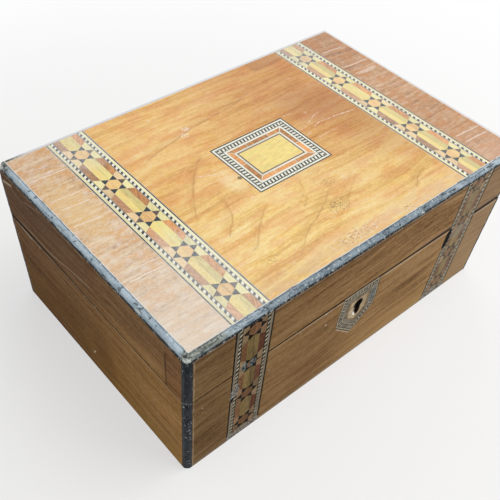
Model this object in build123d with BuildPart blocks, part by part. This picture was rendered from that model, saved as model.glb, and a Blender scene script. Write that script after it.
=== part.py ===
from build123d import *
import os
from math import cos, radians, sin

os.makedirs("parts", exist_ok=True)

# Outside of the box in millimetres: X along the front, Y from front to back, Z up
box_length = 305.0
box_depth = 202.0
box_height = 125.0
seam_height = 81.5  # rim of the base above the table
seam_gap = 0.3  # dark line between the base and the closed lid
seam_wear = 0.4  # worn arrises along that line
top_round = 2.0  # outer arris round the top
corner_round = top_round + 0.5  # upright corners

# Boards, veneer and lining
wall_board = 8.0
floor_board = 8.0
top_board = 8.0
veneer = 1.0
lining = 0.8
lining_below_rim = 2.0

# Ebonised edging: strips round the top, and a square strip up each corner
top_strip_width = 5.0
top_strip_drop = 3.0
corner_strip = 4.5

# Inlay, all of it as thick as the veneer that it lies in
band_width = 29.4
band_to_end = 48.6  # middle of a band to the end of the box
cartouche_length = 66.0
cartouche_depth = 52.8
cartouche_behind = 1.4  # its middle, behind the lid's middle
shield_top_width = 35.8
shield_width = 39.5
shield_widest_drop = 21.0
shield_hip_width = 38.0
shield_hip_drop = 30.0
shield_tip_drop = 47.5

# Keyhole and the brass bush in it
lock_middle = -4.2  # the lock and its escutcheon are a little left of the box's middle
key_circle_radius = 3.5
key_slot_half = 2.2
key_slot_reach = 11.0  # from the key's middle down to the end of the slot
bush_wall = 1.0

# Brass stop hinges
hinge_to_end = 62.0  # middle of a hinge to the end of the box
hinge_length = 40.0
outer_knuckle = 12.0
knuckle_gap = 0.3
leaf_to_inside = 1.0  # wood left between a leaf and the inside of the wall
leaf_thick = 1.2
barrel_radius = 2.4
barrel_clear = 0.2
hinge_pin_radius = 1.0
hinge_pin_clear = 0.05
wing_reach = 7.0
wing_thick = 1.5
opening_angle = 95.0
stop_clear_angle = 1.0

# Brass wood screws with slotted, countersunk heads
screw_head_radius = 2.1
screw_head_height = 1.2
screw_radius = 1.0
screw_to_veneer = 1.0  # board left in front of a screw's point
screw_slot_width = 0.5
screw_slot_depth = 0.4
screws_per_leaf = 3
screw_to_leaf_end = 6.0

# Box lock: plate and selvage in one, case, sliding bolt, and the lid's link plate
lock_plate_thick = 1.5
plate_beside_case = 5.0
plate_below_case = 4.0
selvage_lip = 2.1  # selvage left in front of the links' slots
case_wall = 1.0
case_to_bolt = 0.7
case_below_key = 2.0
case_end_clear = 1.2
key_pin_radius = 1.0
key_pin_to_bolt = 2.7
bolt_thick = 2.0
bolt_to_plate = 0.8
bolt_bar_height = 4.5
bolt_travel = 5.0
talon_width = 5.0
talon_depth = 2.0
link_spacing = 26.0
link_shank = 3.0
link_toe = 3.0
link_toe_height = 2.6
hook_post = 2.5
hook_head_height = 2.4
hook_clear = 0.3
bolt_headroom = 0.7
link_slot_clear = 0.6
spring_thick = 0.4
spring_to_link = 1.5

# Faces and heights that follow
hinge_stop_angle = (opening_angle + stop_clear_angle) / 2
barrel_reach = barrel_radius + barrel_clear
hinge_reach = barrel_reach + wing_reach * cos(radians(hinge_stop_angle))
x_end = box_length / 2
y_front = -(box_depth + hinge_reach) / 2
y_back = y_front + box_depth
y_middle = (y_front + y_back) / 2
wall = wall_board + veneer
x_carcass = x_end - veneer
x_inside = x_end - wall
y_inside_front = y_front + wall
y_inside_back = y_back - wall
lid_rim = seam_height + seam_gap
strip_foot = box_height - top_strip_drop
lid_ceiling = box_height - veneer - top_board
axis_y = y_back + barrel_reach
axis_z = seam_height + seam_gap / 2
band_middle = x_end - band_to_end
band_inner = band_middle - band_width / 2
band_outer = band_middle + band_width / 2
strip_inner = x_end - corner_strip
veneer_end = x_end - top_strip_width
top_y = (y_front + top_strip_width, y_back - top_strip_width)
top_z = (box_height - veneer, box_height)

# Ranges of the lock's pieces, which their pockets share, from the rim down and the inside out
plate_y = (y_inside_front - lock_plate_thick, y_inside_front)
bolt_y = (plate_y[0] - bolt_to_plate - bolt_thick, plate_y[0] - bolt_to_plate)
case_y = (bolt_y[0] - case_to_bolt - case_wall, plate_y[0])
selvage_y = (bolt_y[0] - link_slot_clear - selvage_lip, y_inside_front)
selvage_z = (seam_height - lock_plate_thick, seam_height)
hook_head_top = selvage_z[0] - bolt_headroom
hook_head_z = (hook_head_top - hook_head_height, hook_head_top)
link_toe_top = hook_head_z[0] - hook_clear
link_toe_z = (link_toe_top - link_toe_height, link_toe_top)
bolt_bar_top = link_toe_z[0] - hook_clear
bolt_bar_z = (bolt_bar_top - bolt_bar_height, bolt_bar_top)
key_z = bolt_bar_z[0] - key_pin_to_bolt - key_pin_radius
key_slot_end = key_z - key_slot_reach
case_z = (key_slot_end - case_below_key - case_wall, selvage_z[0])
plate_z = (case_z[0] - plate_below_case, seam_height)
link_plate_z = (lid_rim, lid_rim + lock_plate_thick)
bush_depth = case_y[0] - y_front

# Along X: the links, the bolt's hooks measured from each link, the case and the plate
link_places = (lock_middle - link_spacing / 2, lock_middle + link_spacing / 2)
post_from_link = -link_toe - hook_clear - hook_post - bolt_travel
head_from_link = -hook_clear - bolt_travel
case_half = link_spacing / 2 - post_from_link + case_end_clear + case_wall
case_x = (lock_middle - case_half, lock_middle + case_half)
lock_x = (case_x[0] - plate_beside_case, case_x[1] + plate_beside_case)

# The front plane's own axes are X and Z, and it looks towards -Y
front_plane = Plane.XZ.offset(-y_front)
SIDES = {"left": -1, "right": 1}
CORNERS = {
    "front_left": (-1, y_front, y_front + corner_strip),
    "front_right": (1, y_front, y_front + corner_strip),
    "back_left": (-1, y_back - corner_strip, y_back),
    "back_right": (1, y_back - corner_strip, y_back),
}


def save(piece, name):
    """Label one finished piece and write its file."""
    piece.part.label = name
    export_step(piece.part, f"parts/{name}.step")
    print(name, round(piece.part.volume), "mm3")


def span(side, inner, outer):
    """The range in X from inner to outer on one side of the middle."""
    return sorted((side * inner, side * outer))


def block(x_range, y_range, z_range, mode=Mode.ADD):
    """A square-edged block between three pairs of faces, in the part being built."""
    with Locations((x_range[0], y_range[0], z_range[0])):
        Box(
            x_range[1] - x_range[0],
            y_range[1] - y_range[0],
            z_range[1] - z_range[0],
            align=(Align.MIN, Align.MIN, Align.MIN),
            mode=mode,
        )


def clear_corners(z_range):
    """Rebate the four upright corners for their strips."""
    for side, y_low, y_high in CORNERS.values():
        block(span(side, strip_inner, x_end), (y_low, y_high), z_range, Mode.SUBTRACT)


def screws(places, mode=Mode.ADD):
    """Screw bodies with their heads' faces at the places, or the holes that take them."""
    with Locations(*places):
        Cylinder(screw_radius, screw_length, align=(Align.CENTER, Align.CENTER, Align.MAX), mode=mode)
        Cone(
            screw_radius,
            screw_head_radius,
            screw_head_height,
            align=(Align.CENTER, Align.CENTER, Align.MAX),
            mode=mode,
        )


def screw_slots(places):
    """The driver slots in the heads."""
    with Locations(*places):
        Box(
            2 * screw_head_radius,
            screw_slot_width,
            screw_slot_depth,
            align=(Align.CENTER, Align.CENTER, Align.MAX),
            mode=Mode.SUBTRACT,
        )


def shield_outline():
    """The escutcheon's outline in the sketch being drawn, its top along the rim."""
    half_outline = [
        (shield_top_width / 2, 0),
        (shield_width / 2, -shield_widest_drop),
        (shield_hip_width / 2, -shield_hip_drop),
    ]
    mirrored = [(-x, z) for x, z in reversed(half_outline)]
    with Locations((lock_middle, seam_height)):
        Polygon(*half_outline, (0, -shield_tip_drop), *mirrored, align=None)


def keyhole_outline(grow, mode=Mode.ADD):
    """The keyhole, grown all round, in the sketch being drawn."""
    end_z = key_slot_end + key_slot_half
    with Locations((lock_middle, key_z)):
        Circle(key_circle_radius + grow, mode=mode)
    with Locations((lock_middle, (key_z + end_z) / 2)):
        Rectangle(2 * (key_slot_half + grow), key_z - end_z, mode=mode)
    with Locations((lock_middle, end_z)):
        Circle(key_slot_half + grow, mode=mode)


# Places of the hinges and the screws
leaf_width = wall - leaf_to_inside
screw_length = wall_board - screw_to_veneer
screw_pitch = (hinge_length - 2 * screw_to_leaf_end) / (screws_per_leaf - 1)
hinge_places = {name: side * (x_end - hinge_to_end) for name, side in SIDES.items()}
screw_row = [(i - (screws_per_leaf - 1) / 2) * screw_pitch for i in range(screws_per_leaf)]
leaf_screw_x = [x + step for x in hinge_places.values() for step in screw_row]
leaf_screw_y = y_back - leaf_width / 2
lock_screw_x = [lock_middle + side * (case_half + plate_beside_case / 2) for side in SIDES.values()]
selvage_screw_y = (bolt_y[0] + bolt_y[1]) / 2
plate_screw_z = plate_z[0] + plate_below_case / 2
hinge_base_screws = [Location((x, leaf_screw_y, seam_height)) for x in leaf_screw_x]
hinge_lid_screws = [Location((x, leaf_screw_y, lid_rim), (180, 0, 0)) for x in leaf_screw_x]
selvage_screws = [Location((x, selvage_screw_y, seam_height)) for x in lock_screw_x]
plate_screws = [Location((x, y_inside_front, plate_screw_z), (-90, 0, 0)) for x in lock_screw_x]
link_screws = [Location((x, selvage_screw_y, lid_rim), (180, 0, 0)) for x in lock_screw_x]

# The outside of the base as one block, to which its outer pieces are trimmed
with BuildPart() as base_form:
    with BuildSketch():
        with Locations((0, y_middle)):
            RectangleRounded(box_length, box_depth, corner_round)
    extrude(amount=seam_height)
    chamfer(base_form.faces().sort_by(Axis.Z)[-1].outer_wire().edges(), seam_wear)

# The outside of the lid as one block, rounded at the top
with BuildPart() as lid_form:
    with BuildSketch(Plane.XY.offset(lid_rim)):
        with Locations((0, y_middle)):
            RectangleRounded(box_length, box_depth, corner_round)
    extrude(amount=box_height - lid_rim)
    fillet(lid_form.faces().sort_by(Axis.Z)[-1].outer_wire().edges(), top_round)
    chamfer(lid_form.faces().sort_by(Axis.Z)[0].outer_wire().edges(), seam_wear)

# Bottom board, under the four walls
with BuildPart() as bottom_board:
    block((-x_carcass, x_carcass), (y_front + veneer, y_back), (0, floor_board))
    clear_corners((0, floor_board))
save(bottom_board, "bottom_board")

# Front board of the base, with the lock's pockets, the keyhole and the screw holes
with BuildPart() as base_front_board:
    block((-x_carcass, x_carcass), (y_front + veneer, y_inside_front), (floor_board, seam_height))
    clear_corners((floor_board, seam_height))
    block(lock_x, selvage_y, selvage_z, Mode.SUBTRACT)
    block(lock_x, plate_y, plate_z, Mode.SUBTRACT)
    block(case_x, case_y, case_z, Mode.SUBTRACT)
    with BuildSketch(front_plane):
        keyhole_outline(bush_wall)
    extrude(amount=-bush_depth, mode=Mode.SUBTRACT)
    screws(selvage_screws + plate_screws, Mode.SUBTRACT)
save(base_front_board, "base_front_board")

# Back board of the base, left bare behind and rebated for the hinges
with BuildPart() as base_back_board:
    block((-x_carcass, x_carcass), (y_inside_back, y_back), (floor_board, seam_height))
    clear_corners((floor_board, seam_height))
    for hinge_x in hinge_places.values():
        leaf_x = (hinge_x - hinge_length / 2, hinge_x + hinge_length / 2)
        leaf_z = (seam_height - leaf_thick, seam_height)
        block(leaf_x, (y_back - leaf_width, y_back), leaf_z, Mode.SUBTRACT)
    screws(hinge_base_screws, Mode.SUBTRACT)
    add(base_form.part, mode=Mode.INTERSECT)
save(base_back_board, "base_back_board")

# Front board of the lid, rebated for the link plate
with BuildPart() as lid_front_board:
    block((-x_carcass, x_carcass), (y_front + veneer, y_inside_front), (lid_rim, lid_ceiling))
    clear_corners((lid_rim, lid_ceiling))
    block(lock_x, selvage_y, link_plate_z, Mode.SUBTRACT)
    screws(link_screws, Mode.SUBTRACT)
save(lid_front_board, "lid_front_board")

# Back board of the lid, left bare behind and rebated for the hinges
with BuildPart() as lid_back_board:
    block((-x_carcass, x_carcass), (y_inside_back, y_back), (lid_rim, lid_ceiling))
    clear_corners((lid_rim, lid_ceiling))
    for hinge_x in hinge_places.values():
        leaf_x = (hinge_x - hinge_length / 2, hinge_x + hinge_length / 2)
        leaf_z = (lid_rim, lid_rim + leaf_thick)
        block(leaf_x, (y_back - leaf_width, y_back), leaf_z, Mode.SUBTRACT)
    screws(hinge_lid_screws, Mode.SUBTRACT)
    add(lid_form.part, mode=Mode.INTERSECT)
save(lid_back_board, "lid_back_board")

# Top board of the lid, over the four walls and rebated round its top for the edging
with BuildPart() as lid_top_board:
    block((-x_carcass, x_carcass), (y_front + veneer, y_back), (lid_ceiling, strip_foot))
    clear_corners((lid_ceiling, strip_foot))
    block((-veneer_end, veneer_end), top_y, (strip_foot, top_z[0]))
save(lid_top_board, "lid_top_board")

# Heights of the end walls, and heights and outside form of all that shows round the sides
end_board_z = {"base": (floor_board, seam_height), "lid": (lid_rim, lid_ceiling)}
faces = {"base": ((0, seam_height), base_form), "lid": ((lid_rim, strip_foot), lid_form)}

# End walls of the base and the lid, with the veneer that covers each
for level, (face_z, form) in faces.items():
    for name, side in SIDES.items():
        with BuildPart() as end_board:
            end_x = span(side, x_inside, x_carcass)
            block(end_x, (y_inside_front, y_inside_back), end_board_z[level])
        save(end_board, f"{level}_{name}_board")

        with BuildPart() as end_veneer:
            skin_x = span(side, x_carcass, x_end)
            block(skin_x, (y_front + corner_strip, y_back - corner_strip), face_z)
            add(form.part, mode=Mode.INTERSECT)
        save(end_veneer, f"{level}_{name}_veneer")

# Upright corner strips of the base and the lid
for level, (face_z, form) in faces.items():
    for name, (side, y_low, y_high) in CORNERS.items():
        with BuildPart() as corner_piece:
            block(span(side, strip_inner, x_end), (y_low, y_high), face_z)
            add(form.part, mode=Mode.INTERSECT)
        save(corner_piece, f"{level}_corner_strip_{name}")

# Front veneers and the two bands that run down the front, over the lid and the base
front_skin_y = (y_front, y_front + veneer)
for level, (face_z, form) in faces.items():
    for name, side in SIDES.items():
        with BuildPart() as front_end:
            block(span(side, band_outer, strip_inner), front_skin_y, face_z)
            add(form.part, mode=Mode.INTERSECT)
        save(front_end, f"{level}_front_veneer_{name}")

        with BuildPart() as front_band:
            block(span(side, band_inner, band_outer), front_skin_y, face_z)
            add(form.part, mode=Mode.INTERSECT)
        save(front_band, f"{level}_front_band_{name}")

with BuildPart() as lid_front_middle:
    block((-band_inner, band_inner), front_skin_y, (lid_rim, strip_foot))
    add(lid_form.part, mode=Mode.INTERSECT)
save(lid_front_middle, "lid_front_veneer_middle")

with BuildPart() as base_front_middle:
    block((-band_inner, band_inner), front_skin_y, (0, seam_height))
    with BuildSketch(front_plane):
        shield_outline()
    extrude(amount=-veneer, mode=Mode.SUBTRACT)
    add(base_form.part, mode=Mode.INTERSECT)
save(base_front_middle, "base_front_veneer_middle")

# Shield-shaped escutcheon inlay, cut through for the keyhole's bush
with BuildPart() as escutcheon_inlay:
    with BuildSketch(front_plane):
        shield_outline()
        keyhole_outline(bush_wall, Mode.SUBTRACT)
    extrude(amount=-veneer)
    add(base_form.part, mode=Mode.INTERSECT)
save(escutcheon_inlay, "escutcheon_inlay")

# Brass bush that lines the keyhole as far in as the lock's case
with BuildPart() as keyhole_bush:
    with BuildSketch(front_plane):
        keyhole_outline(bush_wall)
        keyhole_outline(0, Mode.SUBTRACT)
    extrude(amount=-bush_depth)
save(keyhole_bush, "keyhole_bush")

# Veneers, bands and cartouche of the top
for name, side in SIDES.items():
    with BuildPart() as top_end:
        block(span(side, band_outer, veneer_end), top_y, top_z)
    save(top_end, f"top_veneer_{name}")

    with BuildPart() as top_band:
        block(span(side, band_inner, band_outer), top_y, top_z)
    save(top_band, f"top_band_{name}")

with BuildPart() as top_middle:
    with BuildSketch(Plane.XY.offset(top_z[0])):
        with Locations((0, y_middle)):
            Rectangle(2 * band_inner, top_y[1] - top_y[0])
        with Locations((0, y_middle + cartouche_behind)):
            Rectangle(cartouche_length, cartouche_depth, mode=Mode.SUBTRACT)
    extrude(amount=veneer)
save(top_middle, "top_veneer_middle")

with BuildPart() as cartouche:
    with BuildSketch(Plane.XY.offset(top_z[0])):
        with Locations((0, y_middle + cartouche_behind)):
            Rectangle(cartouche_length, cartouche_depth)
    extrude(amount=veneer)
save(cartouche, "cartouche")

# Edging strips round the top, mitred where they meet
outer_corners = [(-x_end, y_front), (x_end, y_front), (x_end, y_back), (-x_end, y_back)]
inner_corners = [
    (-veneer_end, top_y[0]),
    (veneer_end, top_y[0]),
    (veneer_end, top_y[1]),
    (-veneer_end, top_y[1]),
]
for start, name in enumerate(("front", "right", "back", "left")):
    end = (start + 1) % len(outer_corners)
    with BuildPart() as top_strip:
        with BuildSketch(Plane.XY.offset(strip_foot)):
            Polygon(
                outer_corners[start],
                outer_corners[end],
                inner_corners[end],
                inner_corners[start],
                align=None,
            )
        extrude(amount=top_strip_drop)
        add(lid_form.part, mode=Mode.INTERSECT)
    save(top_strip, f"top_edging_{name}")

# Linings of the base and the lid, folded up from one sheet each
lining_x = (-x_inside, x_inside)
lining_y = (y_inside_front, y_inside_back)
well_x = (-x_inside + lining, x_inside - lining)
well_y = (y_inside_front + lining, y_inside_back - lining)
base_lining_top = seam_height - lining_below_rim
lid_lining_foot = lid_rim + lining_below_rim
with BuildPart() as base_lining:
    block(lining_x, lining_y, (floor_board, base_lining_top))
    block(well_x, well_y, (floor_board + lining, base_lining_top), Mode.SUBTRACT)
    window_y = (y_inside_front, y_inside_front + lining)
    block(lock_x, window_y, (plate_z[0], base_lining_top), Mode.SUBTRACT)
save(base_lining, "base_lining")

with BuildPart() as lid_lining:
    block(lining_x, lining_y, (lid_lining_foot, lid_ceiling))
    block(well_x, well_y, (lid_lining_foot, lid_ceiling - lining), Mode.SUBTRACT)
save(lid_lining, "lid_lining")

# Lock plate: upright plate, selvage along the rim, and the pin that the key turns on
with BuildPart() as lock_plate:
    block(lock_x, plate_y, plate_z)
    block(lock_x, selvage_y, selvage_z)
    with Locations((lock_middle, (case_y[0] + case_y[1]) / 2, key_z)):
        Cylinder(key_pin_radius, case_y[1] - case_y[0], rotation=(90, 0, 0))
    for link_x in link_places:
        slot_x = (link_x - link_toe - link_slot_clear, link_x + link_shank + link_slot_clear)
        slot_y = (bolt_y[0] - link_slot_clear, bolt_y[1] + link_slot_clear)
        block(slot_x, slot_y, selvage_z, Mode.SUBTRACT)
    screws(selvage_screws + plate_screws, Mode.SUBTRACT)
save(lock_plate, "lock_plate")

# Lock case, a shallow cover that is open to the plate and to the selvage
with BuildPart() as lock_case:
    block(case_x, case_y, case_z)
    inside_x = (case_x[0] + case_wall, case_x[1] - case_wall)
    block(inside_x, (case_y[0] + case_wall, case_y[1]), (case_z[0] + case_wall, case_z[1]), Mode.SUBTRACT)
    with BuildSketch(front_plane):
        keyhole_outline(0)
    extrude(amount=-(bush_depth + case_wall), mode=Mode.SUBTRACT)
save(lock_case, "lock_case")

# Bolt at rest, drawn back: a bar with the key's talon, and a hook for each link
with BuildPart() as lock_bolt:
    bar_x = (link_places[0] + post_from_link, link_places[-1] + head_from_link)
    block(bar_x, bolt_y, bolt_bar_z)
    for link_x in link_places:
        post_x = (link_x + post_from_link, link_x + post_from_link + hook_post)
        head_x = (link_x + post_from_link, link_x + head_from_link)
        block(post_x, bolt_y, (bolt_bar_top, hook_head_z[1]))
        block(head_x, bolt_y, hook_head_z)
    talon_x = lock_middle - bolt_travel / 2
    talon_range = (talon_x - talon_width / 2, talon_x + talon_width / 2)
    block(talon_range, bolt_y, (bolt_bar_z[0], bolt_bar_z[0] + talon_depth), Mode.SUBTRACT)
save(lock_bolt, "lock_bolt")

# Leaf spring on the bolt, whose tip rubs along the selvage and holds the bolt where it is
with BuildPart() as bolt_spring:
    foot_x = link_places[-1] + post_from_link - hook_clear
    tip_x = link_places[0] + link_shank + spring_to_link
    foot_z = bolt_bar_top + spring_thick / 2
    tip_z = selvage_z[0] - hook_clear - spring_thick
    spring_plane = Plane.XZ.offset(-(bolt_y[0] + bolt_y[1]) / 2)
    with BuildSketch(spring_plane):
        with BuildLine():
            ThreePointArc(
                (foot_x, foot_z),
                ((foot_x + tip_x) / 2, foot_z + (tip_z - foot_z) / 4),
                (tip_x, tip_z),
            )
        trace(line_width=spring_thick)
    extrude(amount=bolt_thick / 2, both=True)
save(bolt_spring, "bolt_spring")

# Link plate in the lid's rim, whose two hooked links reach down into the lock
with BuildPart() as link_plate:
    block(lock_x, selvage_y, link_plate_z)
    for link_x in link_places:
        block((link_x, link_x + link_shank), bolt_y, (link_toe_z[0], link_plate_z[0]))
        block((link_x - link_toe, link_x), bolt_y, link_toe_z)
    screws(link_screws, Mode.SUBTRACT)
save(link_plate, "link_plate")

# Hinges: each leaf is its plate, its knuckles and the wing that stops the lid
leaf_kinds = {"base": (-1, seam_height, 0.0), "lid": (1, lid_rim, hinge_pin_clear)}
along = (cos(radians(hinge_stop_angle)), sin(radians(hinge_stop_angle)))
for name, hinge_x in hinge_places.items():
    for level, (way, rim, bore_clear) in leaf_kinds.items():
        tip = (axis_y + wing_reach * along[0], axis_z + way * wing_reach * along[1])
        lift = (-wing_thick * along[1], way * wing_thick * along[0])
        with BuildPart() as leaf:
            with BuildSketch(Plane.YZ.offset(hinge_x - hinge_length / 2)):
                Polygon(
                    (axis_y, axis_z),
                    tip,
                    (tip[0] + lift[0], tip[1] + lift[1]),
                    (axis_y + lift[0], axis_z + lift[1]),
                    align=None,
                )
                with Locations((axis_y, axis_z)):
                    Circle(barrel_radius)
                with Locations((axis_y - (barrel_reach + leaf_width) / 2, rim + way * leaf_thick / 2)):
                    Rectangle(barrel_reach + leaf_width, leaf_thick)
            extrude(amount=hinge_length)
            if level == "base":
                gaps = [(hinge_x, hinge_length - 2 * outer_knuckle)]
            else:
                gap_length = outer_knuckle + knuckle_gap
                gap_x = (hinge_length - gap_length) / 2
                gaps = [(hinge_x - gap_x, gap_length), (hinge_x + gap_x, gap_length)]
            for gap_middle, gap_length in gaps:
                with Locations((gap_middle, axis_y, axis_z)):
                    Cylinder(
                        barrel_reach,
                        gap_length,
                        rotation=(0, 90, 0),
                        mode=Mode.SUBTRACT,
                    )
            with Locations((hinge_x, axis_y, axis_z)):
                Cylinder(
                    hinge_pin_radius + bore_clear,
                    hinge_length,
                    rotation=(0, 90, 0),
                    mode=Mode.SUBTRACT,
                )
            leaf_screws = hinge_base_screws if level == "base" else hinge_lid_screws
            screws(leaf_screws, Mode.SUBTRACT)
        save(leaf, f"hinge_{name}_{level}_leaf")

    with BuildPart() as hinge_pin:
        with Locations((hinge_x, axis_y, axis_z)):
            Cylinder(hinge_pin_radius, hinge_length, rotation=(0, 90, 0))
    save(hinge_pin, f"hinge_{name}_pin")

# Screws of the base, in the hinges and the lock, and screws of the lid
for level, places in (
    ("base", hinge_base_screws + selvage_screws + plate_screws),
    ("lid", hinge_lid_screws + link_screws),
):
    with BuildPart() as screw_set:
        screws(places)
        screw_slots(places)
    save(screw_set, f"{level}_screws")
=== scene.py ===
# %% [markdown]
# # A veneered box with inlaid bands
#
# This lesson dresses a plain hinged box, whose solids come ready made, in the finishes of an old
# keepsake box: walnut veneer, black edging, and bands of inlay made of hundreds of small woods.
# The solids are the fixed frame. Their places are in their meshes, in metres, with +Z up and the
# front of the box towards -Y, so whatever is made here goes straight where the frame says.

import math
import random

import bmesh
import bpy
from mathutils import Matrix, Quaternion, Vector, noise


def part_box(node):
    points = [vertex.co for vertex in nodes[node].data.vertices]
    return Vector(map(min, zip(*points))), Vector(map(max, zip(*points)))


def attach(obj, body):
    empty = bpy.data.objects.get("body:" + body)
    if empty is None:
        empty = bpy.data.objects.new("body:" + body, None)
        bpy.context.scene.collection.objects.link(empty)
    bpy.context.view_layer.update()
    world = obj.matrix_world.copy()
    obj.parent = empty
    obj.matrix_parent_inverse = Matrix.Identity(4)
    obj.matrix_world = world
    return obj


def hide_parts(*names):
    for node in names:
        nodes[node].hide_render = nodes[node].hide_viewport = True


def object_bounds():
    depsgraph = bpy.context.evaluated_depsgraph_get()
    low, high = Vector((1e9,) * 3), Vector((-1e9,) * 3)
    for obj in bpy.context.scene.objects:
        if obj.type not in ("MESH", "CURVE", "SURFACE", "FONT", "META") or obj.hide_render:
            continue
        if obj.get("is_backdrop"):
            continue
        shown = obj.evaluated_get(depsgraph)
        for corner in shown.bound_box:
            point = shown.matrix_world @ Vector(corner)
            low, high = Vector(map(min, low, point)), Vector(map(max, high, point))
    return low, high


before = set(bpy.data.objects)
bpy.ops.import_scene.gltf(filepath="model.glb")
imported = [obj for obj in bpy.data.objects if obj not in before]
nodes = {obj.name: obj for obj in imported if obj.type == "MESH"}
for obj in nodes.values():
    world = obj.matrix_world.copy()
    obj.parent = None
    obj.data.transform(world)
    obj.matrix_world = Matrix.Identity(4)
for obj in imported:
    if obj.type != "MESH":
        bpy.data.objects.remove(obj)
cad_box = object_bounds()
MM = 0.001
print("nodes", len(nodes), "box in mm", [round((high - low) / MM, 1) for low, high in zip(*cad_box)])

# %% [markdown]
# ## Camera
#
# The box is seen from its front left corner and from well above, so near that its upright edges
# draw together towards the table. A camera is easiest to place by the point that its axis meets,
# the way it looks, and how far off it stands. The little shift moves the picture on the sensor
# without turning the camera, as a picture that was cut out of a larger one does.

# %% Camera
AIM = Vector((-118.6, -103.4, 125.0)) * MM
AZIMUTH = math.radians(44.72)
ELEVATION = math.radians(52.15)
ROLL = math.radians(5.50)
DISTANCE = 349.5 * MM
LENS = 46.91
SHIFT = (0.03, 0.16)


def looking(azimuth, elevation):
    """The direction in which a camera looks, for an azimuth from +Y towards +X and an elevation above."""
    flat = math.cos(elevation)
    return Vector((math.sin(azimuth) * flat, math.cos(azimuth) * flat, -math.sin(elevation)))


view = looking(AZIMUTH, ELEVATION)
camera = bpy.data.objects.new("camera", bpy.data.cameras.new("camera"))
camera.data.lens = LENS
camera.data.shift_x, camera.data.shift_y = SHIFT
camera.rotation_mode = "QUATERNION"
camera.location = AIM - view * DISTANCE
camera.rotation_quaternion = view.to_track_quat("-Z", "Y") @ Quaternion((0, 0, 1), ROLL)
bpy.context.scene.collection.objects.link(camera)
bpy.context.scene.camera = camera
bpy.context.scene.view_settings.view_transform = "Standard"
print("camera at", [round(value / MM) for value in camera.location], "mm")

# %% [markdown]
# ## Shader sums as Python sums
#
# A material is a graph of nodes, and a graph is tiring to write out by hand. This small class wraps
# one socket, so that `1 - mask` or `height * 0.2` adds the Math node that works it out. Everything
# that isn't a sum goes through its one other method, which takes a kind of node, its settings and
# what feeds its sockets.


# %% Signals
def both_ways(operation):
    """Two methods that add a Math node: one for signal + other, and one for other + signal."""
    return (lambda self, other: self.node("Math", {"operation": operation}, {0: self, 1: other}),
            lambda self, other: self.node("Math", {"operation": operation}, {0: other, 1: self}))


class Signal:
    """One socket of a material, used in sums like a number."""

    def __init__(self, tree, socket=None):
        self.tree = tree
        self.socket = socket

    def node(self, kind, settings=None, inputs=None, output=0):
        """Add a node, give it its settings, feed its sockets, and return one of its outputs."""
        made = self.tree.nodes.new("ShaderNode" + kind)
        for name, value in (settings or {}).items():
            if name in ("stops", "curve"):
                set_stops(made.color_ramp, value)
                made.color_ramp.interpolation = "LINEAR" if name == "stops" else "CARDINAL"
            else:
                setattr(made, name, value)
        for name, value in (inputs or {}).items():
            if isinstance(value, Signal):
                self.tree.links.new(value.socket, made.inputs[name])
            else:
                made.inputs[name].default_value = value
        return Signal(self.tree, made.outputs[output])

    __add__, __radd__ = both_ways("ADD")
    __sub__, __rsub__ = both_ways("SUBTRACT")
    __mul__, __rmul__ = both_ways("MULTIPLY")
    __truediv__, __rtruediv__ = both_ways("DIVIDE")
    __pow__, __rpow__ = both_ways("POWER")
    __mod__, __rmod__ = both_ways("FLOORED_MODULO")
    __gt__, __lt__ = both_ways("GREATER_THAN")[0], both_ways("LESS_THAN")[0]
    at_least, at_most = both_ways("MAXIMUM")[0], both_ways("MINIMUM")[0]

    def __abs__(self):
        return self.node("Math", {"operation": "ABSOLUTE"}, {0: self, 1: 0.0})

    def rise(self, low, high):
        """0 below low, 1 above high, and a smooth step between them."""
        settings = {"interpolation_type": "SMOOTHSTEP"}
        return self.node("MapRange", settings, {"Value": self, "From Min": low, "From Max": high})


def set_stops(ramp, stops):
    """Give a colour ramp its stops, each a place and a colour."""
    while len(ramp.elements) < len(stops):
        ramp.elements.new(1.0)
    for element, (place, colour) in zip(ramp.elements, stops):
        element.position = place
        element.color = (*colour, 1.0)


def vector(x, y, z=0.0):
    """Three signals or numbers as one vector, the first of them a signal."""
    return x.node("CombineXYZ", inputs={0: x, 1: y, 2: z})


def clouds(x, y, z=0.0, detail=3.0, roughness=0.5):
    """Soft noise about one unit across, from 0 to 1 and mostly near a half."""
    inputs = {"Vector": vector(x, y, z), "Scale": 1.0, "Detail": detail, "Roughness": roughness}
    return x.node("TexNoise", inputs=inputs)


STAIN = "MULTIPLY"  # a colour laid on like this darkens what is under it


def mixed(factor, first, second, way="MIX"):
    """A colour that goes from the first to the second as the factor goes from 0 to 1."""
    settings = {"data_type": "RGBA", "blend_type": way}
    colours = [c if isinstance(c, Signal) else (*c, 1.0) for c in (first, second)]
    return factor.node("Mix", settings, {0: factor, 6: colours[0], 7: colours[1]}, output=2)


def layered(tint, *layers):
    """Lay colours over a tint in turn: each layer has a mask, a colour, and perhaps STAIN."""
    for mask, colour, *way in layers:
        tint = mixed(mask, tint, colour, *way)
    return tint


def spot(x, y, centre, radii):
    """1 in the middle of an ellipse, falling to 0 at its edge."""
    along = (x - centre[0]) / radii[0]
    across = (y - centre[1]) / radii[1]
    return (1 - (along * along + across * across)).at_least(0.0)


def ridge(across, middle, reach):
    """1 on a line, falling to 0 this far from it."""
    return (1 - abs(across - middle) / reach).at_least(0.0)


def stroke(x, y, start, end, width, bow=0.0):
    """A line from start to end that bows to one side: 1 along its middle, 0 half its width off."""
    (x0, y0), (x1, y1) = start, end
    run = (x - x0) / (x1 - x0)
    line = run * (y1 - y0) + y0 + run * (1 - run) * (4 * bow)
    slope = math.hypot(x1 - x0, y1 - y0) / abs(x1 - x0)
    off = abs(y - line) / (width / 2 * slope)
    return (1 - off).at_least(0.0) * run.rise(0.0, 0.12) * (1 - run.rise(0.88, 1.0))


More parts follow.
